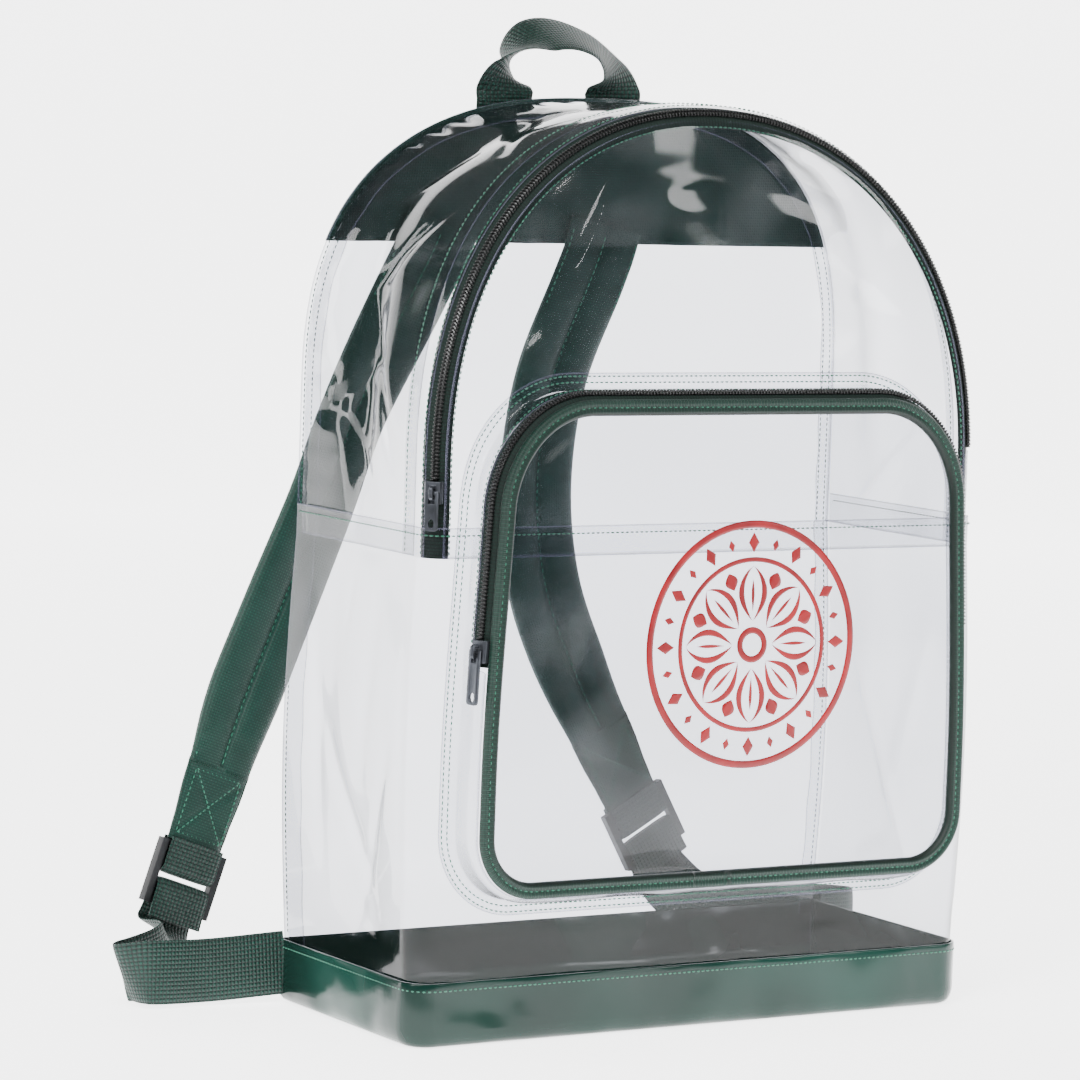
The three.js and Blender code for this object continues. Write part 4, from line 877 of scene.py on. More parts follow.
def make_gusset():
    """The clear strip over the top and down both sides, from under the zip strip to the back."""
    share = np.linspace(0, 1, 430)[:, None]
    fz = FRONT_LINE.place(share)[1]
    bz = BACK_LINE.place(share)[1]
    start = front_y(fz) + CORNER + STRIP_REACH - QUARTER
    end = back_y(bz) - LAYER
    columns = np.concatenate([[-0.085, -0.07], np.linspace(-0.04, 0.985, 50), [1.0]])[None, :]
    y = mix(start, end, columns)
    sunk = gusset_sunk(share, np.clip(columns, 0, 1))
    points = gusset(share, y, 2 * LAYER + SHEET_MIDDLE + sunk)
    run = share * FRONT_LINE.length
    edge = near_edge((columns - columns[0, 0]) * GUSSET_WIDTH + share * 0, run, FRONT_LINE.length - run)
    make_clear("upper_gusset_sheet", points, edge, "upper_gusset")


def make_zip_strip():
    """The clear strip between the gusset and the zip. It ripples a little where it is stitched."""
    share = np.linspace(0, 1, 420)[:, None]
    d = np.array([-STRIP_REACH, -23.2, -21, -18.5, -16, -13, -QUARTER, -8, -6.6, -5.9, -5.2])[None, :]
    run = share * FRONT_LINE.length
    ripple = 0.35 * np.sin(run / 7.5 + 1.7 * np.sin(run / 41)) * np.exp(-((d + 14) / 5) ** 2)
    points = upper_skin(share, d, LAYER + SHEET_MIDDLE + ripple)
    edge = near_edge(d + STRIP_REACH, d + 5.2)
    make_clear("zip_strip_sheet", points, edge, "zip_strip")


def inner_arch(line, inward, rows):
    """The left half of an outline moved inwards, as heights and half widths from its foot to just
    before its crown."""
    share = np.linspace(0, 0.494, rows)
    x, z = line.place(share)
    nx, nz = line.normal(share)
    return z - nz * inward, np.abs(x - nx * inward)


FRONT_CREASES = [
    (-118, 250, -86, 330, 0.9, 5), (-84, 340, -40, 392, 0.7, 4.5), (20, 392, 84, 372, 0.8, 6),
    (58, 366, 112, 330, 1.0, 6), (104, 322, 124, 250, 1.0, 5), (-104, 322, -48, 340, 0.6, 7),
    (-40, 330, 60, 316, 0.6, 9), (-74, 350, -50, 400, 0.8, 3),
]


def front_sunk(x, z):
    """Soft dents and creases of the upper front, with an eye-shaped ring pushed out near its top."""
    eye = np.hypot((x + 8) / 2.6, z - 384)
    ring = -0.5 * np.exp(-((eye - 7) / 3.2) ** 2)
    slow = 1.2 * np.sin(x / 31 + z / 47) * np.sin(z / 29 + 0.7)
    return creases(FRONT_CREASES, x, z) + ring + slow


def make_front_panel():
    """The clear upper front: rows join both sides of the arch, columns spread over the width."""
    z, half = inner_arch(FRONT_LINE, 8.58, 170)
    half = np.maximum(half, 2.0)[:, None]
    column = np.concatenate([[-1], np.linspace(-0.99, 0.99, 120), [1]])[None, :]
    x, zz = half * column, np.broadcast_to(z[:, None], (len(z), column.shape[1]))
    shares = np.linspace(0, 1, 900)
    lx, lz = FRONT_LINE.place(shares)
    away = np.sqrt(((x[..., None] - lx) ** 2 + (zz[..., None] - lz) ** 2).min(-1))
    deep = LAYER + SHEET_MIDDLE
    beyond = np.clip(CORNER - away, 0, 9.5)
    calm = smooth(away, 14, 34) * smooth(zz, FOOT, FOOT + 24)
    y = front_y(zz) + CORNER - np.sqrt((CORNER - deep) ** 2 - beyond ** 2) + front_sunk(x, zz) * calm
    edge = near_edge(half - np.abs(x), zz - FOOT)
    make_clear("front_upper_sheet", stack(x, y, zz), edge, "front_upper_panel")


def back_rows():
    """Heights and half widths of the back, 1 mm inside its outline, from under the base's rim to the
    crown."""
    below = np.linspace(8.3, FOOT - 2, 80)
    z, half = inner_arch(BACK_LINE, 1.0, 150)
    z = np.concatenate([below, z])
    half = np.concatenate([np.full(len(below), HALF - 1.0), half]) + 4 * bow(z)
    return z, np.maximum(half, 2.0)


def make_back_panel():
    """The clear back, with slow waves, and double where its seam allowance is turned in."""
    z, half = back_rows()
    column = np.concatenate([[-1, -0.993], np.linspace(-0.985, 0.985, 96), [0.993, 1]])[None, :]
    x = half[:, None] * column
    zz = np.broadcast_to(z[:, None], x.shape)
    calm = smooth(half[:, None] - np.abs(x), 4, 26) * smooth(BACK_CROWN - zz, 4, 26)
    calm = calm * (1 - smooth(zz, 344, 356))
    wave = 1.5 * np.sin(x / 37 + zz / 53) * np.sin(zz / 34 + 0.4) + 0.6 * np.sin(x / 13 + zz / 90)
    y = back_y(zz) - SHEET_MIDDLE + wave * calm
    edge = near_edge(half[:, None] - np.abs(x))
    make_clear("back_sheet", stack(x, y, zz), edge, "back_panel")


def make_seam_allowance():
    """The turned-in edges of gusset and back: a clear flange 9 mm wide inside the back seam."""
    share = np.linspace(0, 1, 300)[:, None]
    inward = np.array([1.6, 2.5, 4.5, 7, 9.5, SEAM_ALLOWANCE])[None, :]
    x, z = BACK_LINE.place(share)
    nx, nz = BACK_LINE.normal(share)
    run = share * BACK_LINE.length
    ripple = 0.5 * np.sin(run / 5.5 + 1.4 * np.sin(run / 23)) * smooth(inward, 3, 10)
    y = back_y(z - nz * inward) - 2.3 - 0.4 * inward / 10 + ripple
    points = stack(x - nx * inward, y, z - nz * inward)
    edge = near_edge(SEAM_ALLOWANCE - inward + share * 0)
    make_clear("back_seam_flange", points, edge)
    low = np.linspace(24, FOOT, 90)[:, None]
    for name, side in (("left", -1), ("right", 1)):
        x = side * (HALF + 4 * bow(low) - inward)
        ripple = 0.5 * np.sin(low / 5.5) * smooth(inward, 3, 10)
        points = stack(x, back_y(low) - 2.3 + ripple, low)
        make_clear(name + "_low_seam_flange", points, near_edge(SEAM_ALLOWANCE - inward + low * 0))


def make_end_tab():
    """The doubled clear tab over the zip's right end."""
    low = FRONT_LINE.share_at(265, False)
    share = np.linspace(low, 1, 30)[:, None]
    d = np.array([-4.9, -4.2, -2, 0, 2, 4.1, 4.8])[None, :]
    points = upper_skin(share, d, LAYER + SHEET_MIDDLE)
    edge = near_edge(d + 4.9, d - 4.8, (share - low) * FRONT_LINE.length)
    make_clear("zip_end_sheet", points, edge, "zip_end_tab")


def yoke_lift(x):
    """How far the yoke is pushed out over the two strap ends."""
    near = np.minimum(*(np.abs(x - centre) for centre in STRAP_CENTRES))
    return 3.9 * (1 - smooth(near, 32, 46))


def make_yoke():
    """The cloth yoke at the top of the back, swollen over both strap ends."""
    z, half = inner_arch(BACK_LINE, 1.5, 400)
    z, half = z[z >= YOKE_EDGE], half[z >= YOKE_EDGE]
    keep = np.concatenate([[0], np.arange(4, len(z), 4)])
    z, half = z[keep][:, None], np.maximum(half[keep][:, None], 2.0)
    z[0] = YOKE_EDGE
    column = np.linspace(-1, 1, 140)[None, :]
    x, zz = half * column, np.broadcast_to(z, (len(z), 140))
    y = back_y(zz) + 0.9 + yoke_lift(x) * (1 - smooth(zz, 368, 392))
    cloth = make_sheet("yoke_cloth", stack(x, y, zz), finish_of("nylon"), ("yoke",),
                       weave=stack(x, zz, 0.0))
    thicken(cloth, 1.1)


# The zips


def coil(line_shares, skin, centre, reach, inset, height, pitch):
    """Both halves of a coil: rows of small rounded loops across the tape on either side of the
    middle, the two rows half a pitch apart."""
    groups = []
    for side in (-1, 1):
        d = centre + side * reach * 0.5
        line, normals = skin_line(skin, line_shares, d, inset)
        at, along, out = resample(line, normals, pitch)
        at = at + along * (pitch * 0.25 * side)
        across = unit(np.cross(out, along) + along * 0.18 * side)
        groups.append(dashes(at, across, out, reach * 1.02, pitch * 0.72, height, height * 0.45))
    return groups


def make_main_zip():
    """The arched zip: a tape under both edges, a thin chain bed, and two rows of coil loops."""
    shares = np.linspace(0, 1, 300)
    places = np.array([-9, -8.6, -6, -3, 0, 3, 6, 8.6, 9.0])
    rings = strip_rings(upper_skin, shares, places, 2 * LAYER, 0.8)
    make_band("main_zip_cloth", rings, places, finish_of("tape"), ("main_zip_tape",))
    start = FRONT_LINE.share_at(256, True)
    end = FRONT_LINE.share_at(268, False)
    run = np.linspace(start, end, 500)
    groups = coil(run, upper_skin, 0.0, 2.2, 1.25, 1.9, 1.7)
    dash_piece("main_zip_coil", groups, finish_of("coil"), ("main_zip_teeth",))
    bed_places = np.array([-1.7, -0.8, 0.8, 1.7])
    bed = strip_rings(upper_skin, np.linspace(start, end, 260), bed_places, 1.7, 0.6)
    make_band("main_zip_bed", bed, bed_places, finish_of("coil"))


def bevelled_copy(node, name, width, material, body="bag"):
    """A CAD node's shape, welded and with its edges rounded, in its place."""
    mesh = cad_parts[node].data.copy()
    mesh.name = name
    shape = bmesh.new()
    shape.from_mesh(mesh)
    bmesh.ops.remove_doubles(shape, verts=shape.verts, dist=1e-6)
    bmesh.ops.dissolve_limit(shape, angle_limit=math.radians(1), verts=shape.verts, edges=shape.edges)
    shape.to_mesh(mesh)
    shape.free()
    mesh.materials.clear()
    mesh.materials.append(material)
    piece = bpy.data.objects.new(name, mesh)
    bpy.context.scene.collection.objects.link(piece)
    mesh.polygons.foreach_set("use_smooth", np.ones(len(mesh.polygons), bool))
    edge = piece.modifiers.new("Rounded edges", "BEVEL")
    edge.width = width * MM
    edge.segments = 3
    edge.limit_method = "ANGLE"
    edge.angle_limit = math.radians(35)
    edge.use_clamp_overlap = True
    edge.harden_normals = True
    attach(piece, body)
    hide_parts(node)


def make_sliders():
    """The two sliders and their pulls, with rounded edges."""
    metal = finish_of("metal")
    bevelled_copy("main_zip_slider", "main_slider_metal", 0.35, metal)
    bevelled_copy("pocket_zip_slider", "pocket_slider_metal", 0.35, metal)
    bevelled_copy("main_zip_pull", "main_pull_metal", 0.3, metal, "main_pull")
    bevelled_copy("pocket_zip_pull", "pocket_pull_metal", 0.3, metal, "pocket_pull")


# The pocket


def pocket_taper(z):
    """The pocket narrows by 5% from 120 mm up to its top."""
    return 1 - 0.05 * smooth(z, 120, POCKET_HIGH)


def pocket_outline():
    """A rounded rectangle that narrows upwards, from the middle of its foot to the left, over the
    top and back."""
    half, low, high = POCKET_HALF, POCKET_LOW, POCKET_HIGH
    low_radius, high_radius = POCKET_LOW_RADIUS, POCKET_HIGH_RADIUS
    turn = np.linspace(0, np.pi / 2, 200)
    c, s = np.cos(turn), np.sin(turn)
    x = np.concatenate([
        [0], -half + low_radius - low_radius * s, -half + high_radius - high_radius * c,
        half - high_radius + high_radius * s, half - low_radius + low_radius * c, [0]])
    z = np.concatenate([
        [low], low + low_radius - low_radius * c, high - high_radius + high_radius * s,
        high - high_radius + high_radius * c, low + low_radius - low_radius * s, [low]])
    fine = np.linspace(0, 1, 6001)
    first = Outline(x, z)
    fx, fz = first.place(fine)
    return Outline(fx * pocket_taper(fz), fz, closed=True)


POCKET_LINE = pocket_outline()


def pocket_skin(share, d, inset):
    """The pocket by its distance d from the middle of its rounded rim: on its side below -4.7 mm and
    on its face beyond 4.7 mm."""
    share, d, inset = np.broadcast_arrays(share, d, inset)
    x, z = POCKET_LINE.place(share)
    nx, nz = POCKET_LINE.normal(share)
    turn = math.pi / 4 + np.clip(d, -POCKET_QUARTER, POCKET_QUARTER) / POCKET_RIM
    radius = POCKET_RIM - inset
    inward = POCKET_RIM - radius * np.cos(turn) + np.maximum(d - POCKET_QUARTER, 0)
    y = POCKET_FACE + POCKET_RIM - radius * np.sin(turn) - np.minimum(d + POCKET_QUARTER, 0)
    return stack(x - nx * inward, y, z - nz * inward)


def bag_front(x, z):
    """Where the bag's front lies under the pocket."""
    bowed = 3 * bow(z) * np.cos(np.pi * x / (2 * HALF))
    return front_y(z) - bowed + LAYER * smooth(z, MID_SEAM + LAP, MID_SEAM + 3 * LAP)


def make_pocket_wall():
    """The pocket's clear side wall: a flange on the bag's front, a sharp turn, the wall, and its top
    at the zip, or under the binding below the zip."""
    share = np.linspace(0, 1, 420, endpoint=False)[:, None]
    x, z = POCKET_LINE.place(share)
    nx, nz = POCKET_LINE.normal(share)
    seat = lambda out: bag_front(x + nx * out, z + nz * out) - 0.8
    out = np.array([7, 6.2, 4.5, 2.2])[None, :]
    flange = stack(x + nx * out, seat(out), z + nz * out)
    top = np.where(z < 174.3, 1.6, -7.8)
    foot_d = -(seat(0.0) - 1.4 - POCKET_FACE - POCKET_RIM + POCKET_QUARTER)
    t = np.linspace(0, 1, 12)[None, :]
    run = share * POCKET_LINE.length
    ripple = 0.45 * np.sin(run / 9 + 1.9 * np.sin(run / 43)) * np.sin(np.pi * t)
    wall = pocket_skin(share, mix(foot_d, top, t), 0.5 + ripple)
    round_foot = stack(x + nx * 0.4, seat(0.0) - 0.3, z + nz * 0.4)
    points = np.concatenate([flange, round_foot, wall], 1)
    edges = np.concatenate([near_edge(7 - out + share * 0), np.zeros((len(share), 1)),
                            near_edge((1 - t) * 15 + share * 0)], 1)
    make_clear("pocket_wall_sheet", points, edges, "pocket_gusset", wrap=True)


def pocket_face_y(x, z, half):
    """The pocket's face, which bulges 5 mm between its bound edges: sin(pi t) upwards and
    1 - (x / half)^2 across."""
    margin = 4.4
    low, high = POCKET_LOW + POCKET_INSET, POCKET_HIGH - POCKET_INSET
    level = np.maximum(1 - (x / (half - margin)) ** 2, 0)
    up = np.maximum(np.sin(np.pi * (z - low - margin) / (high - low - 2 * margin)), 0)
    return POCKET_FACE + LAYER + SHEET_MIDDLE - 5 * up * level


def corner_cut(radius, beyond):
    """How much a rounded corner takes off the half width, at a distance beyond its start."""
    return radius - np.sqrt(np.maximum((radius - POCKET_INSET) ** 2 - beyond ** 2, 0)) - POCKET_INSET


def pocket_half(z):
    """Half the width of the pocket's face at a height, inside its rounded corners."""
    below = np.maximum(POCKET_LOW + POCKET_LOW_RADIUS - z, 0)
    above = np.maximum(z - POCKET_HIGH + POCKET_HIGH_RADIUS, 0)
    cut = np.where(below > 0, corner_cut(POCKET_LOW_RADIUS, below), corner_cut(POCKET_HIGH_RADIUS, above))
    return (POCKET_HALF - cut) * pocket_taper(z) - POCKET_INSET


POCKET_CREASES = [
    (-112, 92, -70, 84, 0.6, 5), (92, 82, 116, 100, 0.8, 3.5), (104, 80, 120, 118, 0.7, 3.5),
    (-116, 250, -80, 282, 0.7, 5), (60, 286, 108, 262, 0.7, 5), (-90, 140, -60, 262, 0.5, 9),
    (70, 120, 90, 240, 0.5, 9),
]


def pocket_sunk(x, z, half):
    """Low creases and slow waves of the pocket's face, calm beside its binding."""
    calm = smooth(half - np.abs(x), 6, 26) * smooth(z, 80, 104) * (1 - smooth(z, 262, 284))
    slow = 0.7 * np.sin(x / 33 + 1.1) * np.sin(z / 27)
    return (creases(POCKET_CREASES, x, z) + slow) * calm


def make_pocket_face():
    """The pocket's clear face."""
    low, high = POCKET_LOW + POCKET_INSET, POCKET_HIGH - POCKET_INSET
    z = mix(low, high, (1 - np.cos(np.linspace(0, np.pi, 100))) / 2)[:, None]
    half = pocket_half(z)
    x = half * np.linspace(-1, 1, 130)[None, :]
    zz = np.broadcast_to(z, x.shape)
    y = pocket_face_y(x, zz, half) + pocket_sunk(x, zz, half)
    make_clear("pocket_face_sheet", stack(x, y, zz), np.zeros(x.shape), "pocket_face")


def make_binding():
    """The pocket's grosgrain binding: two soft ridges with a sewn groove between them."""
    share = np.linspace(0, 1, 420, endpoint=False)[:, None]
    t = np.linspace(0, 1, 17)
    rises = np.interp(t, [0, 0.08, 0.22, 0.36, 0.48, 0.6, 0.76, 0.92, 1],
                      [0.3, 0.72, 0.97, 0.86, 0.66, 0.86, 1, 0.72, 0.26])
    d = 2.2 + 7.4 * t
    run = share * POCKET_LINE.length
    pucker = 0.1 * np.sin(run * 2 * np.pi / 2.6) * np.exp(-((t[None, :] - 0.48) / 0.14) ** 2)
    outer = pocket_skin(share, d[None, :], 0.7 - 3.2 * rises[None, :] + pucker)
    inner = pocket_skin(share, d[::-1][None, :], 1.0)
    rings = np.concatenate([outer, inner], 1)
    make_band("pocket_binding_cloth", rings, d, finish_of("binding"), ("pocket_binding",),
              closed=True)
    lap = np.linspace(0.001, 0.02, 14)[:, None]
    over = pocket_skin(lap, d[None, :], 0.55 - 3.25 * rises[None, :])
    under = pocket_skin(lap, d[::-1][None, :], 0.6 - 3.0 * rises[None, ::-1])
    make_band("binding_join", np.concatenate([over, under], 1), d, finish_of("binding"))


def make_pocket_zip():
    """The pocket's zip: tape, chain bed and coil, from its left end over the top to the right."""
    left = POCKET_LINE.share_at(174.6, True)
    right = POCKET_LINE.share_at(174.6, False)
    places = np.array([-10.5, -9.6, -7, -POCKET_QUARTER, -2, 0, 2, 3.2])
    rings = strip_rings(pocket_skin, np.linspace(left, right, 260), places, LAYER, 0.8)
    make_band("pocket_zip_cloth", rings, places, finish_of("tape"), ("pocket_zip_tape",))
    start = POCKET_LINE.share_at(187, True)
    end = POCKET_LINE.share_at(186, False)
    groups = coil(np.linspace(start, end, 460), pocket_skin, -3.0, 2.0, 0.0, 1.8, 1.7)
    dash_piece("pocket_zip_coil", groups, finish_of("coil"), ("pocket_zip_teeth",))
    bed_places = np.array([-4.6, -3.8, -2.2, -1.4])
    bed = strip_rings(pocket_skin, np.linspace(start, end, 260), bed_places, 0.4, 0.6)
    make_band("pocket_zip_bed", bed, bed_places, finish_of("coil"))


# The print


def print_surface(x, z):
    """Where the ink lies: just over the pocket's face."""
    half = pocket_half(z)
    return stack(x, pocket_face_y(x, z, half) + pocket_sunk(x, z, half) - 0.12, z)


def make_print():
    """A rosette in screen ink: two rings, a chain of small lozenges between them, and eight open
    petals round a dotted middle. Each shape is a strip r from r0 to r1 over an angle."""
    cx, cz = 8.0, 181.0
    points, faces, first = [], [], 0

    def strip(radius, angle, wrap):
        nonlocal first
        x = cx + radius * np.sin(angle)
        z = cz + radius * np.cos(angle)
        points.append(print_surface(x, z).reshape(-1, 3))
        faces.append(grid_faces(*radius.shape, wrap_rows=wrap, first=first))
        first += radius.size

    turn = np.linspace(0, 2 * np.pi, 180, endpoint=False)[:, None]
    for r0, r1 in ((53.6, 57.0), (38.0, 40.2), (5.2, 8.2)):
        strip(np.broadcast_to(np.linspace(r0, r1, 4)[None, :], (180, 4)), turn + np.zeros((180, 4)), True)
    t = np.linspace(0, 1, 25)[:, None]
    across = np.linspace(-1, 1, 5)[None, :]
    for k in range(24):
        middle = k * np.pi / 12
        big = 1.0 if k % 2 == 0 else 0.6
        wide = (1 - np.abs(2 * t - 1)) * 0.062 * big
        strip(mix(46.9 - 4.6 * big, 46.9 + 4.6 * big, t) + across * 0, middle + wide * across, False)
    for k in range(8):
        middle = k * np.pi / 4
        radius = mix(11.0, 36.0, t) + across * 0
        outer = 0.34 * np.sin(np.pi * t ** 0.8) ** 0.8
        inner = 0.62 * outer
        for side in (-1, 1):
            blade = mix(inner, outer, (across + 1) / 2)
            strip(radius, middle + side * blade, False)
        vein = 0.035 * np.sin(np.pi * t) * across
        strip(mix(15.0, 30.0, t) + across * 0, middle + vein, False)
        gap = middle + np.pi / 8
        strip(mix(27.0, 35.5, t) + across * 0, gap + 0.11 * np.sin(np.pi * t) * across, False)
    all_points, all_faces = np.concatenate(points), np.concatenate(faces)
    a, b, c = (all_points[all_faces[:, k]] for k in range(3))
    turned = np.cross(b - a, c - a)[:, 1] > 0
    all_faces[turned] = all_faces[turned][:, ::-1]
    ink = make_piece("pocket_print", all_points, all_faces, finish_of("ink"))
    thicken(ink, 0.08)


# Straps, webbing and handle


def catmull(points, share):
    """A centripetal Catmull-Rom line through points, read at shares of its number of spans."""
    points = np.asarray(points, float)
    last = len(points) - 1
    ends = np.concatenate([[2 * points[0] - points[1]], points, [2 * points[-1] - points[-2]]])
    at = np.clip(np.asarray(share, float), 0, 1) * last
    i = np.minimum(at.astype(int), last - 1)
    w = (at - i)[:, None]
    p0, p1, p2, p3 = (ends[i + k] for k in range(4))
    gap = lambda a, b: np.linalg.norm(b - a, axis=1, keepdims=True) ** 0.5
    d0, d1, d2 = gap(p0, p1), gap(p1, p2), gap(p2, p3)
    d1 = np.where(d1 < 1e-4, 1.0, d1)
    d0 = np.where(d0 < 1e-4, d1, d0)
    d2 = np.where(d2 < 1e-4, d1, d2)
    t1 = ((p1 - p0) / d0 - (p2 - p0) / (d0 + d1) + (p2 - p1) / d1) * d1
    t2 = ((p2 - p1) / d1 - (p3 - p1) / (d1 + d2) + (p3 - p2) / d2) * d1
    return p1 + t1 * w + (-3 * p1 + 3 * p2 - 2 * t1 - t2) * w ** 2 + (2 * p1 - 2 * p2 + t1 + t2) * w ** 3


class Band:
    """Frames along a flat band: its middle, and the directions along, across and out of it."""

    def __init__(self, places, sides, count):
        share = np.linspace(0, 1, count)
        reach = 1e-4
        self.at = catmull(places, share)
        self.along = unit(catmull(places, share + reach) - catmull(places, share - reach))
        side = catmull(sides, share)
        self.side = unit(side - self.along * np.sum(side * self.along, 1, keepdims=True))
        self.out = np.cross(self.side, self.along)
        self.run = np.concatenate([[0], np.cumsum(np.linalg.norm(np.diff(self.at, axis=0), axis=1))])

    def point(self, across, rise):
        """Points across the band and out of it, both in millimetres, one row for each frame."""
        middle, side, out = (values[:, None] for values in (self.at, self.side, self.out))
        return middle + side * across[..., None] + out * rise[..., None]


def rows_of(table):
    """The places and sides of a strap table, as in the part: across in half widths, behind in
    depths out from the back, and up in heights of the strap's top."""
    rows = np.asarray(table, float)
    z = rows[:, 2] * STRAP_TOP
    places = stack(rows[:, 0] * TUB_HALF_WIDTH, back_y(z) + 1.8 + rows[:, 1] * 2 * TUB_HALF_DEPTH, z)
    return places, unit(rows[:, 3:])


LEFT_STRAP = [
    (-0.505, 0.002, 0.9999, 0.91, 0.035, -0.41), (-0.538, 0.005, 0.9648, 0.91, 0.03, -0.41),
    (-0.590, 0.038, 0.9063, 0.91, 0.05, -0.41), (-0.702, 0.201, 0.7438, 0.86, 0.25, -0.43),
    (-0.774, 0.255, 0.6338, 0.88, 0.2, -0.42), (-0.898, 0.279, 0.5005, 0.91, 0.1, -0.40),
    (-1.036, 0.287, 0.3579, 0.93, 0.05, -0.36), (-1.098, 0.279, 0.2865, 0.93, 0.1, -0.38),
]
RIGHT_STRAP = [
    (0.088, 0.002, 0.9999, 0.98, 0.016, -0.2), (0.07, 0.005, 0.9648, 0.98, 0.014, -0.2),
    (0.052, 0.036, 0.9239, 0.98, 0.0, -0.2), (0.016, 0.198, 0.7917, 1.0, 0.0, -0.05),
    (0.02, 0.288, 0.642, 1.0, 0.0, 0.05), (0.092, 0.333, 0.5052, 0.96, 0.0, 0.25),
    (0.223, 0.333, 0.3824, 0.92, 0.05, 0.38), (0.315, 0.318, 0.3099, 0.92, 0.05, 0.4),
]
LEFT_WEBBING = [
    (-1.302, 0.1681, 0.0662, 0.551, 0.307, -0.776), (-1.483, 0.1055, 0.0438, 0.41, 0.185, -0.893),
    (-1.439, 0.0164, 0.047, 0.16, -0.012, -0.987), (-1.246, -0.0017, 0.046, -0.009, 0.016, -1.0),
    (-0.996, -0.042, 0.052, 0.0, 0.0, -1.0),
]
RIGHT_WEBBING = [
    (0.634, 0.2623, 0.0813, 0.573, -0.253, 0.78), (0.879, 0.2467, 0.055, 0.251, 0.001, 0.968),
    (1.1, 0.1997, 0.0483, 0.05, 0.0, 0.999), (1.21, 0.115, 0.0462, 0.0, 0.0, 1.0),
    (1.15, 0.018, 0.0474, 0.0, 0.0, 1.0), (0.996, -0.042, 0.052, 0.0, 0.0, 1.0),
]
HANDLE_ROWS = [
    (-1.0, 0.0, -0.36, -1.0, 0.0, 0.0), (-1.0, 0.01, -0.12, -1.0, 0.0, 0.0),
    (-1.0, 0.02, 0.08, -1.0, 0.0, 0.0),
    (-0.966, 0.0455, 0.366, -0.774, -0.633, -0.021), (-0.801, 0.0507, 0.712, -0.273, -0.947, -0.171),
    (-0.35, 0.06, 0.97, 0.0, -0.88, -0.48), (0.14, 0.072, 1.005, 0.011, -0.878, -0.479),
    (0.69, 0.0296, 0.781, -0.35, -0.847, -0.399), (0.956, -0.0033, 0.418, -0.765, -0.617, -0.186),
    (1.0, 0.02, 0.08, -1.0, 0.0, 0.0), (1.0, 0.01, -0.12, -1.0, 0.0, 0.0),
    (1.0, 0.0, -0.36, -1.0, 0.0, 0.0),
]


def make_webbing(name, band, node):
    """Flat webbing: its section is t / 2 * (1 - |c|^6)^0.5 over the width, thin at both selvedges."""
    c = np.sin(np.linspace(-np.pi / 2, np.pi / 2, 17))
    rise = WEB_THICKNESS / 2 * np.maximum((1 - np.abs(c) ** 6) ** 0.5, 0.3)
    across = c * WEB_WIDTH / 2
    count = len(band.at)
    spread = lambda values: np.broadcast_to(values, (count, len(values)))
    rings = np.concatenate([band.point(spread(across), spread(rise)),
                            band.point(spread(across[::-1]), spread(-rise[::-1]))], 1)
    return make_band(name, rings, across, finish_of("webbing"), (node,))


def pad_rise(c, along, half):
    """Half thickness of a pad over its width: two crowned channels, (1 - |u|^2.4)^0.6, with a sewn
    groove in the middle, puckers beside it and thin sewn edges."""
    u = (np.abs(c) - 0.5) / 0.5
    crown = np.maximum(1 - np.abs(u) ** 2.4, 0) ** 0.6
    groove = np.maximum(0.34 - np.abs(c) * 4, 0)
    edge = 0.2
    beside_groove = np.exp(-((np.abs(c) - 0.14) / 0.16) ** 2)
    beside_hem = np.exp(-((np.abs(c) - 0.86) / 0.12) ** 2)
    pucker = 0.035 * np.sin(along * 2 * np.pi / 9 + 1.3 * np.sin(along / 17)) * beside_groove
    pucker = pucker + 0.03 * np.sin(along * 2 * np.pi / 7) * beside_hem
    return half * np.maximum(edge + (1 - edge) * crown + pucker, np.maximum(edge, groove))


def pad_width(band):
    """A pad is 40 mm wide, and narrows to 35 mm over its last 46 mm."""
    return mix(35.0, 40.0, smooth(band.run[-1] - band.run, 0, 46))


def make_pad(side, band):
    """A padded strap, thin at its sewn top and near its lower end."""
    total = band.run[-1]
    thin = 1 / 3
    top = smooth(band.run, 18.4, 73.6)
    low = smooth(total - band.run, 0, 23)
    swell = mix(thin, 1, np.minimum(top, mix(thin, 1, low)))[:, None]
    c = np.sin(np.linspace(-np.pi / 2, np.pi / 2, 49))[None, :]
    width = pad_width(band)[:, None]
    rise = pad_rise(c, band.run[:, None], 4.5 * swell)
    across = c * width / 2
    rings = np.concatenate([band.point(across, rise), band.point(across[:, ::-1], -rise[:, ::-1])], 1)
    node = side + "_shoulder_pad"
    pad = make_band(side + "_pad_cloth", rings, c[0] * 20, finish_of("nylon"), (node,))


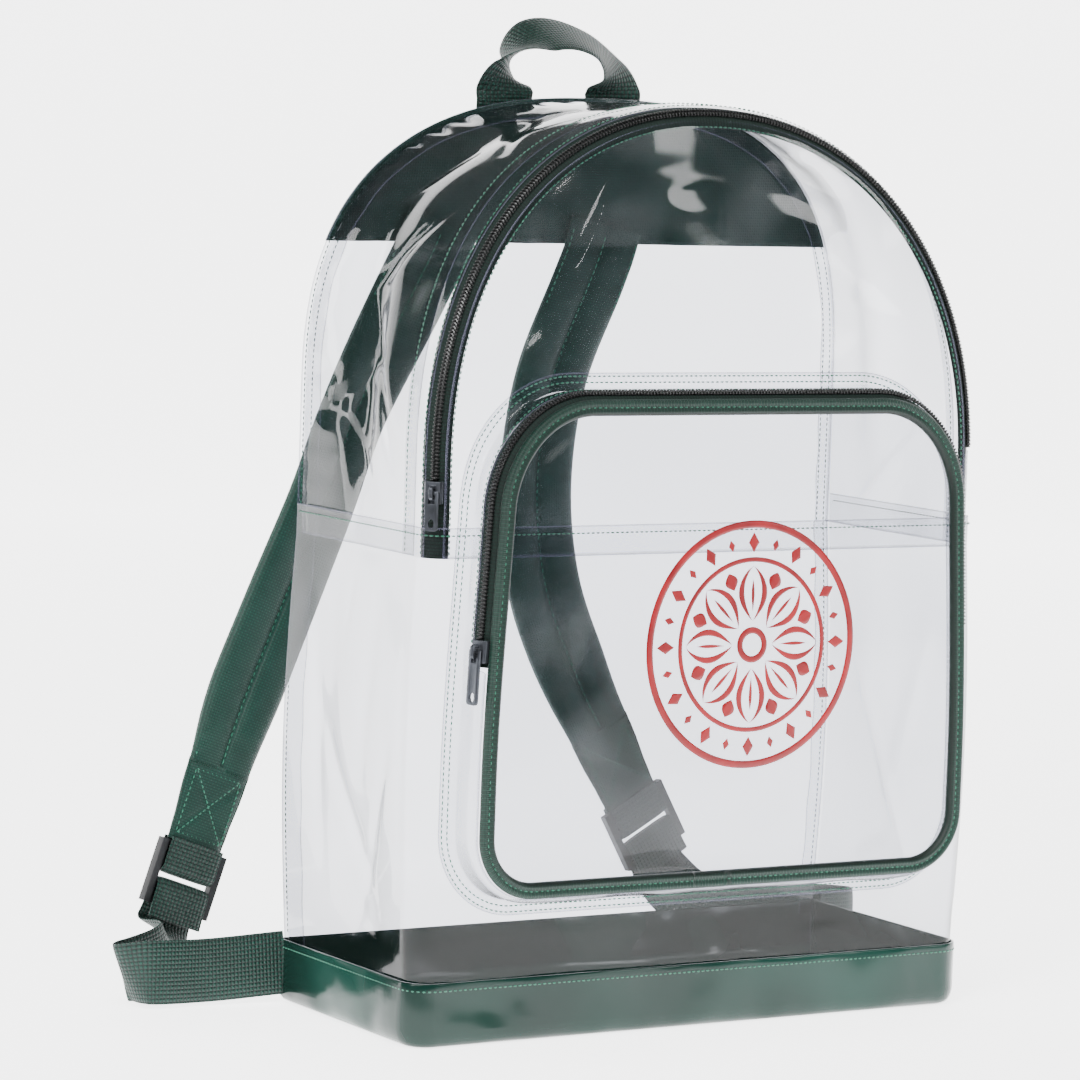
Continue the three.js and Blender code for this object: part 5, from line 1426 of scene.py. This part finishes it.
def make_tab(side, band):
    """The flat sewn tab below a pad, quilted by its crossed stitches."""
    down = np.linspace(-1.5, 37.6, 42)
    last = {key: getattr(band, key)[-1] for key in ("at", "along", "side", "out")}
    width = np.interp(down, [0.3, 12.3, 24.3, 36.3], [35.4, 34.4, 32, 31])[:, None]
    c = np.sin(np.linspace(-np.pi / 2, np.pi / 2, 33))[None, :]
    edge = np.maximum((1 - np.abs(c) ** 5) ** 0.6, 0.35)
    v = ((down - 0.3) / 36)[:, None] * 2 - 1
    crossed = np.minimum(np.abs(c * 0.9 - v), np.abs(c * 0.9 + v))
    quilt = 0.72 + 0.28 * smooth(crossed, 0.0, 0.22)
    rise = 2.0 * edge * quilt
    across = c * width / 2
    at = last["at"] + last["along"] * down[:, None]
    point = lambda a, r: at[:, None] + last["side"] * a[..., None] + last["out"] * r[..., None]
    rings = np.concatenate([point(across, rise), point(across[:, ::-1], -rise[:, ::-1])], 1)
    node = side + "_pad_tab"
    make_band(side + "_tab_cloth", rings, c[0] * 16.5, finish_of("nylon"), (node,))
    rows = []
    for sign in (1, -1):
        face = last["out"] * sign
        flat = lambda cs, vs: (last["at"] + last["along"] * (0.3 + (vs + 1) * 18)[:, None]
                               + last["side"] * (cs * 15.5)[:, None] + face * 1.62)
        t = np.linspace(-0.86, 0.86, 30)
        one = np.ones(30)
        for cs, vs in ((t * 0.95, t), (-t * 0.95, t), (t, one * -0.86), (t, one * 0.86), (one * -0.86, t),
                       (one * 0.86, t)):
            rows.append(stitch_row(flat(cs, vs), np.broadcast_to(face, (30, 3)), 0.2))
    return rows


WRAP = 3.45


def half_turn(centre, direction):
    """A half circle of the webbing round a buckle's bar."""
    turn = np.linspace(-np.pi / 2, np.pi / 2, 9)
    return [(centre + direction * WRAP * math.cos(a), WRAP * math.sin(a)) for a in turn]


def make_strap(side, strap_table, webbing_table):
    """One shoulder strap: pad, tab, loop, buckle and webbing, all from one line of frames."""
    places, sides = rows_of(strap_table)
    band = Band(places, sides, 150)
    make_pad(side, band)
    rows = make_tab(side, band)
    width = pad_width(band)
    for sign in (1, -1):
        normals = band.out * sign
        line = band.at + normals * 1.65
        rows.append(stitch_row(line[8:-2], normals[8:-2], 0.1, spacing=1.3))
        for hem in (-1, 1):
            hem_line = band.at + band.side * (hem * (width / 2 - 1.7))[:, None] + normals * 1.5
            rows.append(stitch_row(hem_line[8:-2], normals[8:-2], 0.1, spacing=1.3))
    dash_piece(side + "_strap_stitches", rows, finish_of("thread"))
    start = band.at[-1] + band.along[-1] * 38.3
    along, across, out = band.along[-1], band.side[-1], band.out[-1]
    buckle_point = lambda down, up: start + along * down + out * up
    middle = 11.5
    line = [(-1.7, -WRAP), (middle * 0.5, -WRAP), *half_turn(middle, 1), (middle * 0.5, WRAP), (-1.7, WRAP)]
    loop = Band([buckle_point(*p) for p in line], [across] * len(line), 60)
    make_webbing(side + "_loop_webbing", loop, side + "_buckle_loop")
    low = 22.0
    near = [(low + 15, -WRAP - 1), (low + 7.5, -WRAP - 0.4), *half_turn(low, -1), (low + 9.6, WRAP),
            (low + 16.8, WRAP + 0.6)]
    far_places, far_sides = rows_of(webbing_table)
    all_places = np.concatenate([[buckle_point(*p) for p in near], far_places])
    all_sides = np.concatenate([[across] * len(near), far_sides])
    make_webbing(side + "_long_webbing", Band(all_places, all_sides, 300), side + "_strap_webbing")
    bevelled_copy(side + "_buckle", side + "_buckle_plastic", 0.7, finish_of("plastic"))


def make_straps():
    """Both shoulder straps."""
    make_strap("left", LEFT_STRAP, LEFT_WEBBING)
    make_strap("right", RIGHT_STRAP, RIGHT_WEBBING)


def make_handle():
    """The carrying handle: webbing from the yoke up and over, its left leg twisted."""
    rows = np.asarray(HANDLE_ROWS)
    z = BACK_CROWN + rows[:, 2] * 28
    x = -20 + rows[:, 0] * 30
    places = stack(x, back_y(np.minimum(z, BACK_CROWN)) + 2.7 + rows[:, 1] * 60, z)
    make_webbing("handle_webbing", Band(places, unit(rows[:, 3:]), 180), "handle")
    stitched = []
    for x0 in (-50, 10):
        for z0 in (419.5, 423.5):
            across = np.linspace(-12, 12, 20)
            line = stack(x0 + across, back_y(z0) + 3.7, np.full(20, z0))
            stitched.append(stitch_row(line, np.tile([0.0, 1.0, 0.1], (20, 1)), 0.1))
    dash_piece("handle_stitches", stitched, finish_of("thread"))


# Sewing


def make_body_stitches():
    """The rows that hold base, mid seam, gusset, back seam and yoke."""
    rows = []
    plan = tub_outline(0)
    loop = stack(plan[:, 0], plan[:, 1], np.full(len(plan), 26.4))
    outward = unit(np.concatenate([plan * np.array([0.05, 1]), np.zeros((len(plan), 1))], 1))
    side = np.abs(plan[:, 0]) > 151.5
    outward[side] = np.stack([np.sign(plan[side, 0]), np.zeros(side.sum()), np.zeros(side.sum())], -1)
    rows.append(stitch_row(loop, outward, 0.15, closed=True))
    t = np.linspace(2, BODY_LENGTH - 2, 400)
    line, above = (body_point(t, np.full(400, 231.5), inset) for inset in (0.0, -1.0))
    rows.append(stitch_row(line, unit(above - line), 0.15))
    share = np.linspace(0.002, 0.998, 900)
    for skin, d, inset in ((upper_skin, -21.0, LAYER), (upper_skin, -6.9, LAYER), (upper_skin, 8.6, LAYER)):
        line, normals = skin_line(skin, share, d, inset)
        rows.append(stitch_row(line, normals, 0.15))
    dash_piece("body_stitches", rows, finish_of("thread"))


def make_back_stitches():
    """Two rows inside the back seam, and the yoke's hem."""
    rows = []
    share = np.linspace(0, 1, 800)
    x, z = BACK_LINE.place(share)
    nx, nz = BACK_LINE.normal(share)
    for inward in (3.2, 7.2):
        px, pz = x - nx * inward, z - nz * inward
        line = stack(px, back_y(pz) + 0.1, pz)
        on_yoke = pz > YOKE_EDGE
        line[on_yoke, 1] += 1.5
        rows.append(stitch_row(line, np.tile([0.0, 1.0, 0.0], (800, 1)), 0.1))
    low = np.linspace(32, FOOT, 120)
    for side in (-1, 1):
        line = stack(side * (HALF + 4 * bow(low) - 3.2), back_y(low) + 0.1, low)
        rows.append(stitch_row(line, np.tile([0.0, 1.0, 0.0], (120, 1)), 0.1))
    for height in (359.4, 363.0):
        half = float(back_half(height)) - 4
        x = np.linspace(-half, half, 300)
        line = stack(x, back_y(height) + 1.5 + yoke_lift(x), np.full(300, height))
        rows.append(stitch_row(line, np.tile([0.0, 1.0, 0.0], (300, 1)), 0.1))
    dash_piece("back_stitches", rows, finish_of("thread"))


def make_pocket_stitches():
    """Rows on the pocket's flange, beside its zip and in the groove of its binding."""
    share = np.linspace(0, 1, 900, endpoint=False)
    x, z = POCKET_LINE.place(share)
    nx, nz = POCKET_LINE.normal(share)
    rows = []
    for out in (2.6, 5.4):
        px, pz = x + nx * out, z + nz * out
        line = stack(px, bag_front(px, pz) - 1.0, pz)
        rows.append(stitch_row(line, np.tile([0.0, -1.0, 0.0], (900, 1)), 0.1, closed=True))
    groove, normals = skin_line(pocket_skin, share, 5.75, 0.7 - 3.2 * 0.66)
    rows.append(stitch_row(groove, normals, 0.1, closed=True, spacing=1.1))
    over = share[z > 176]
    line, normals = skin_line(pocket_skin, over, -9.0, 0.0)
    rows.append(stitch_row(line, normals, 0.15))
    dash_piece("pocket_stitches", rows, finish_of("thread"))


# The stage


def stage_material(glow):
    """Opal acrylic, lit from below: bright behind and under the bag, and dark in front of it, so that
    the sheets do not mirror it. The change runs over 0.22 to 0.7 m in front, as seen by the camera."""
    material, tree = new_material("opal_acrylic")
    place = add(tree, "ShaderNodeTexCoord").outputs["Object"]
    away = add(tree, "ShaderNodeVectorMath", {0: place, 1: (0.522, 0.853, 0.0)}, operation="DOT_PRODUCT")
    lit = add(tree, "ShaderNodeMapRange", {
        "Value": away.outputs["Value"], "From Min": -0.7, "From Max": -0.22, "To Min": 0.03})
    tone = ramp(tree, lit.outputs[0], [(0.0, (0.05, 0.05, 0.05, 1)), (1.0, (0.9, 0.9, 0.91, 1))])
    power = add(tree, "ShaderNodeMath", {0: lit.outputs[0], 1: glow}, operation="MULTIPLY")
    finish_material(tree, add(tree, "ShaderNodeBsdfPrincipled", {
        "Base Color": tone, "Roughness": 0.9, "Specular IOR Level": 0.1,
        "Emission Color": (1, 1, 1, 1), "Emission Strength": power.outputs[0]}))
    material.cycles.emission_sampling = "NONE"
    return material


def make_floor():
    """An opal sweep: flat under the bag, then curved up behind it along a quarter circle."""
    turn = np.linspace(0, np.pi / 2, 24)
    reach, radius, rise = 2400.0, 900.0, 2600.0
    y = np.concatenate([[-4200], np.linspace(-3000, reach, 8), reach + radius * np.sin(turn[1:]),
                        [reach + radius]])
    z = np.concatenate([[0], np.zeros(8), radius * (1 - np.cos(turn[1:])), [rise]])
    x = np.linspace(-5200, 5200, 9)
    spin = Matrix.Rotation(math.radians(-CAMERA_AZIMUTH), 3, "Z")
    points = stack(x[None, :], y[:, None], z[:, None] - 0.05).reshape(-1, 3) @ np.array(spin.transposed())
    mesh = bpy.data.meshes.new("opal_sweep")
    faces = grid_faces(len(y), len(x))
    a, b, c = points[faces[0, :3]]
    if np.cross(b - a, c - a)[2] < 0:
        faces = faces[:, ::-1]
    mesh.from_pydata((points * MM).tolist(), [], faces.tolist())
    mesh.polygons.foreach_set("use_smooth", np.ones(len(mesh.polygons), bool))
    floor = bpy.data.objects.new("opal_sweep", mesh)
    bpy.context.scene.collection.objects.link(floor)
    mesh.materials.append(stage_material(bpy.context.scene.backpack_light.glow))
    floor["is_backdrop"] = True


def add_light(name, place, target, size, power):
    """A rectangular softbox that points at a target. Places are in metres."""
    data = bpy.data.lights.new(name, "AREA")
    data.shape = "RECTANGLE"
    data.size, data.size_y = size
    data.energy = power
    light = bpy.data.objects.new(name, data)
    bpy.context.scene.collection.objects.link(light)
    light.location = place
    light.rotation_euler = (Vector(target) - Vector(place)).to_track_quat("-Z", "Y").to_euler()


def make_camera():
    """The camera of the fit: azimuth 31.46, elevation 5.51 and roll 2 degrees."""
    az, el, roll = (math.radians(a) for a in (CAMERA_AZIMUTH, 5.51, 2.0))
    forward = Vector((math.sin(az) * math.cos(el), math.cos(az) * math.cos(el), -math.sin(el)))
    right = Vector((math.cos(az), -math.sin(az), 0))
    up = right.cross(forward)
    turned_right = right * math.cos(roll) + up * math.sin(roll)
    turned_up = up * math.cos(roll) - right * math.sin(roll)
    data = bpy.data.cameras.new("camera")
    data.lens = 159.6
    data.sensor_width = 36
    data.sensor_fit = "HORIZONTAL"
    data.clip_end = 50
    camera = bpy.data.objects.new("camera", data)
    bpy.context.scene.collection.objects.link(camera)
    turn = Matrix((turned_right, turned_up, -forward)).transposed()
    camera.matrix_world = Matrix.Translation((-1.2106, -1.8885, 0.4354)) @ turn.to_4x4()
    bpy.context.scene.camera = camera


def make_world():
    """A pale room, a little brighter above than at the sides, so that clear sheets have something
    to mirror."""
    world = bpy.data.worlds.new("pale_room")
    bpy.context.scene.world = world
    world.use_nodes = True
    tree = world.node_tree
    tree.nodes.clear()
    look = add(tree, "ShaderNodeSeparateXYZ", {0: add(tree, "ShaderNodeTexCoord").outputs["Generated"]})
    tone = ramp(tree, add(tree, "ShaderNodeMapRange", {
        "Value": look.outputs["Z"], "From Min": -1.0, "From Max": 1.0}).outputs[0],
        [(0.0, (0.5, 0.5, 0.52, 1)), (0.45, (0.4, 0.4, 0.43, 1)), (0.56, (0.25, 0.25, 0.28, 1)),
         (0.75, (0.6, 0.6, 0.62, 1)), (1.0, (1, 1, 1, 1))])
    light = add(tree, "ShaderNodeBackground", {
        "Color": tone, "Strength": bpy.context.scene.backpack_light.world})
    add(tree, "ShaderNodeOutputWorld", {"Surface": light.outputs[0]})


def make_lights():
    """Four softboxes: left, right, above and behind on the left."""
    light = bpy.context.scene.backpack_light
    middle = (0, 0, 0.22)
    add_light("key_softbox", (-2.2, -1.5, 1.6), middle, (0.9, 0.8), light.key_power)
    add_light("fill_softbox", (1.9, -2.1, 1.1), middle, (0.6, 0.9), light.fill_power)
    add_light("top_softbox", (-0.6, -0.9, 2.1), (0, 0, 0.2), (1.3, 0.5), light.top_power)
    add_light("left_strip", (-2.1, 1.9, 0.9), middle, (0.5, 1.7), light.fill_power)


# Operators, one for each group of pieces


class MakesPieces:
    """Runs an operator's makers in their order."""

    def execute(self, context):
        for maker in self.makers:
            maker()
        return {"FINISHED"}


class BACKPACK_OT_stage(MakesPieces, bpy.types.Operator):
    """Make the camera, floor, room and lights"""

    bl_idname = "backpack.stage"
    bl_label = "Stage"
    makers = (make_camera, make_floor, make_world, make_lights)


class BACKPACK_OT_base(MakesPieces, bpy.types.Operator):
    """Make the green base"""

    bl_idname = "backpack.base"
    bl_label = "Base"
    makers = (make_base,)


class BACKPACK_OT_panels(MakesPieces, bpy.types.Operator):
    """Make the clear sheets of the body and the cloth yoke"""

    bl_idname = "backpack.panels"
    bl_label = "Clear panels and yoke"
    makers = (make_lower_body, make_gusset, make_zip_strip, make_front_panel, make_back_panel,
              make_seam_allowance, make_end_tab, make_yoke)


class BACKPACK_OT_zips(MakesPieces, bpy.types.Operator):
    """Make the main zip, the pocket's zip and their sliders"""

    bl_idname = "backpack.zips"
    bl_label = "Zips"
    makers = (make_main_zip, make_pocket_zip, make_sliders)


class BACKPACK_OT_pocket(MakesPieces, bpy.types.Operator):
    """Make the front pocket and its print"""

    bl_idname = "backpack.pocket"
    bl_label = "Pocket"
    makers = (make_pocket_wall, make_pocket_face, make_binding, make_print)


class BACKPACK_OT_straps(MakesPieces, bpy.types.Operator):
    """Make the handle and both shoulder straps"""

    bl_idname = "backpack.straps"
    bl_label = "Straps and handle"
    makers = (make_handle, make_straps)


class BACKPACK_OT_sewing(MakesPieces, bpy.types.Operator):
    """Make the rows of stitches"""

    bl_idname = "backpack.sewing"
    bl_label = "Stitches"
    makers = (make_body_stitches, make_back_stitches, make_pocket_stitches)


OPERATORS = (
    BACKPACK_OT_stage, BACKPACK_OT_base, BACKPACK_OT_panels, BACKPACK_OT_zips, BACKPACK_OT_pocket,
    BACKPACK_OT_straps, BACKPACK_OT_sewing,
)


class BACKPACK_PT_panel(bpy.types.Panel):
    """Sizes, colours and the makers of each group of pieces"""

    bl_label = "Clear backpack"
    bl_idname = "BACKPACK_PT_panel"
    bl_space_type = "VIEW_3D"
    bl_region_type = "UI"
    bl_category = "Backpack"

    def draw(self, context):
        layout = self.layout
        for key in GROUPS:
            group = getattr(context.scene, key)
            box = layout.box()
            for name in group.__annotations__:
                box.prop(group, name)
        for operator in OPERATORS:
            layout.operator(operator.bl_idname)


GROUPS = {
    "backpack_vinyl": VinylLook, "backpack_trim": TrimLook, "backpack_stitch": StitchSizes,
    "backpack_light": StudioLight,
}


def register():
    for group in GROUPS.values():
        bpy.utils.register_class(group)
    for key, group in GROUPS.items():
        setattr(bpy.types.Scene, key, bpy.props.PointerProperty(type=group))
    for operator in OPERATORS:
        bpy.utils.register_class(operator)
    bpy.utils.register_class(BACKPACK_PT_panel)


def unregister():
    bpy.utils.unregister_class(BACKPACK_PT_panel)
    for operator in reversed(OPERATORS):
        bpy.utils.unregister_class(operator)
    for key, group in GROUPS.items():
        delattr(bpy.types.Scene, key)
        bpy.utils.unregister_class(group)


def main():
    """Makes every piece in order."""
    register()
    for name in ("stage", "base", "panels", "zips", "pocket", "straps", "sewing"):
        getattr(bpy.ops.backpack, name)()
    as_lists = lambda box: [[float(v) for v in corner] for corner in box]
    {"cad": as_lists(cad_box), "visual": as_lists(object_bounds())}


if __name__ == "__main__":
    main()
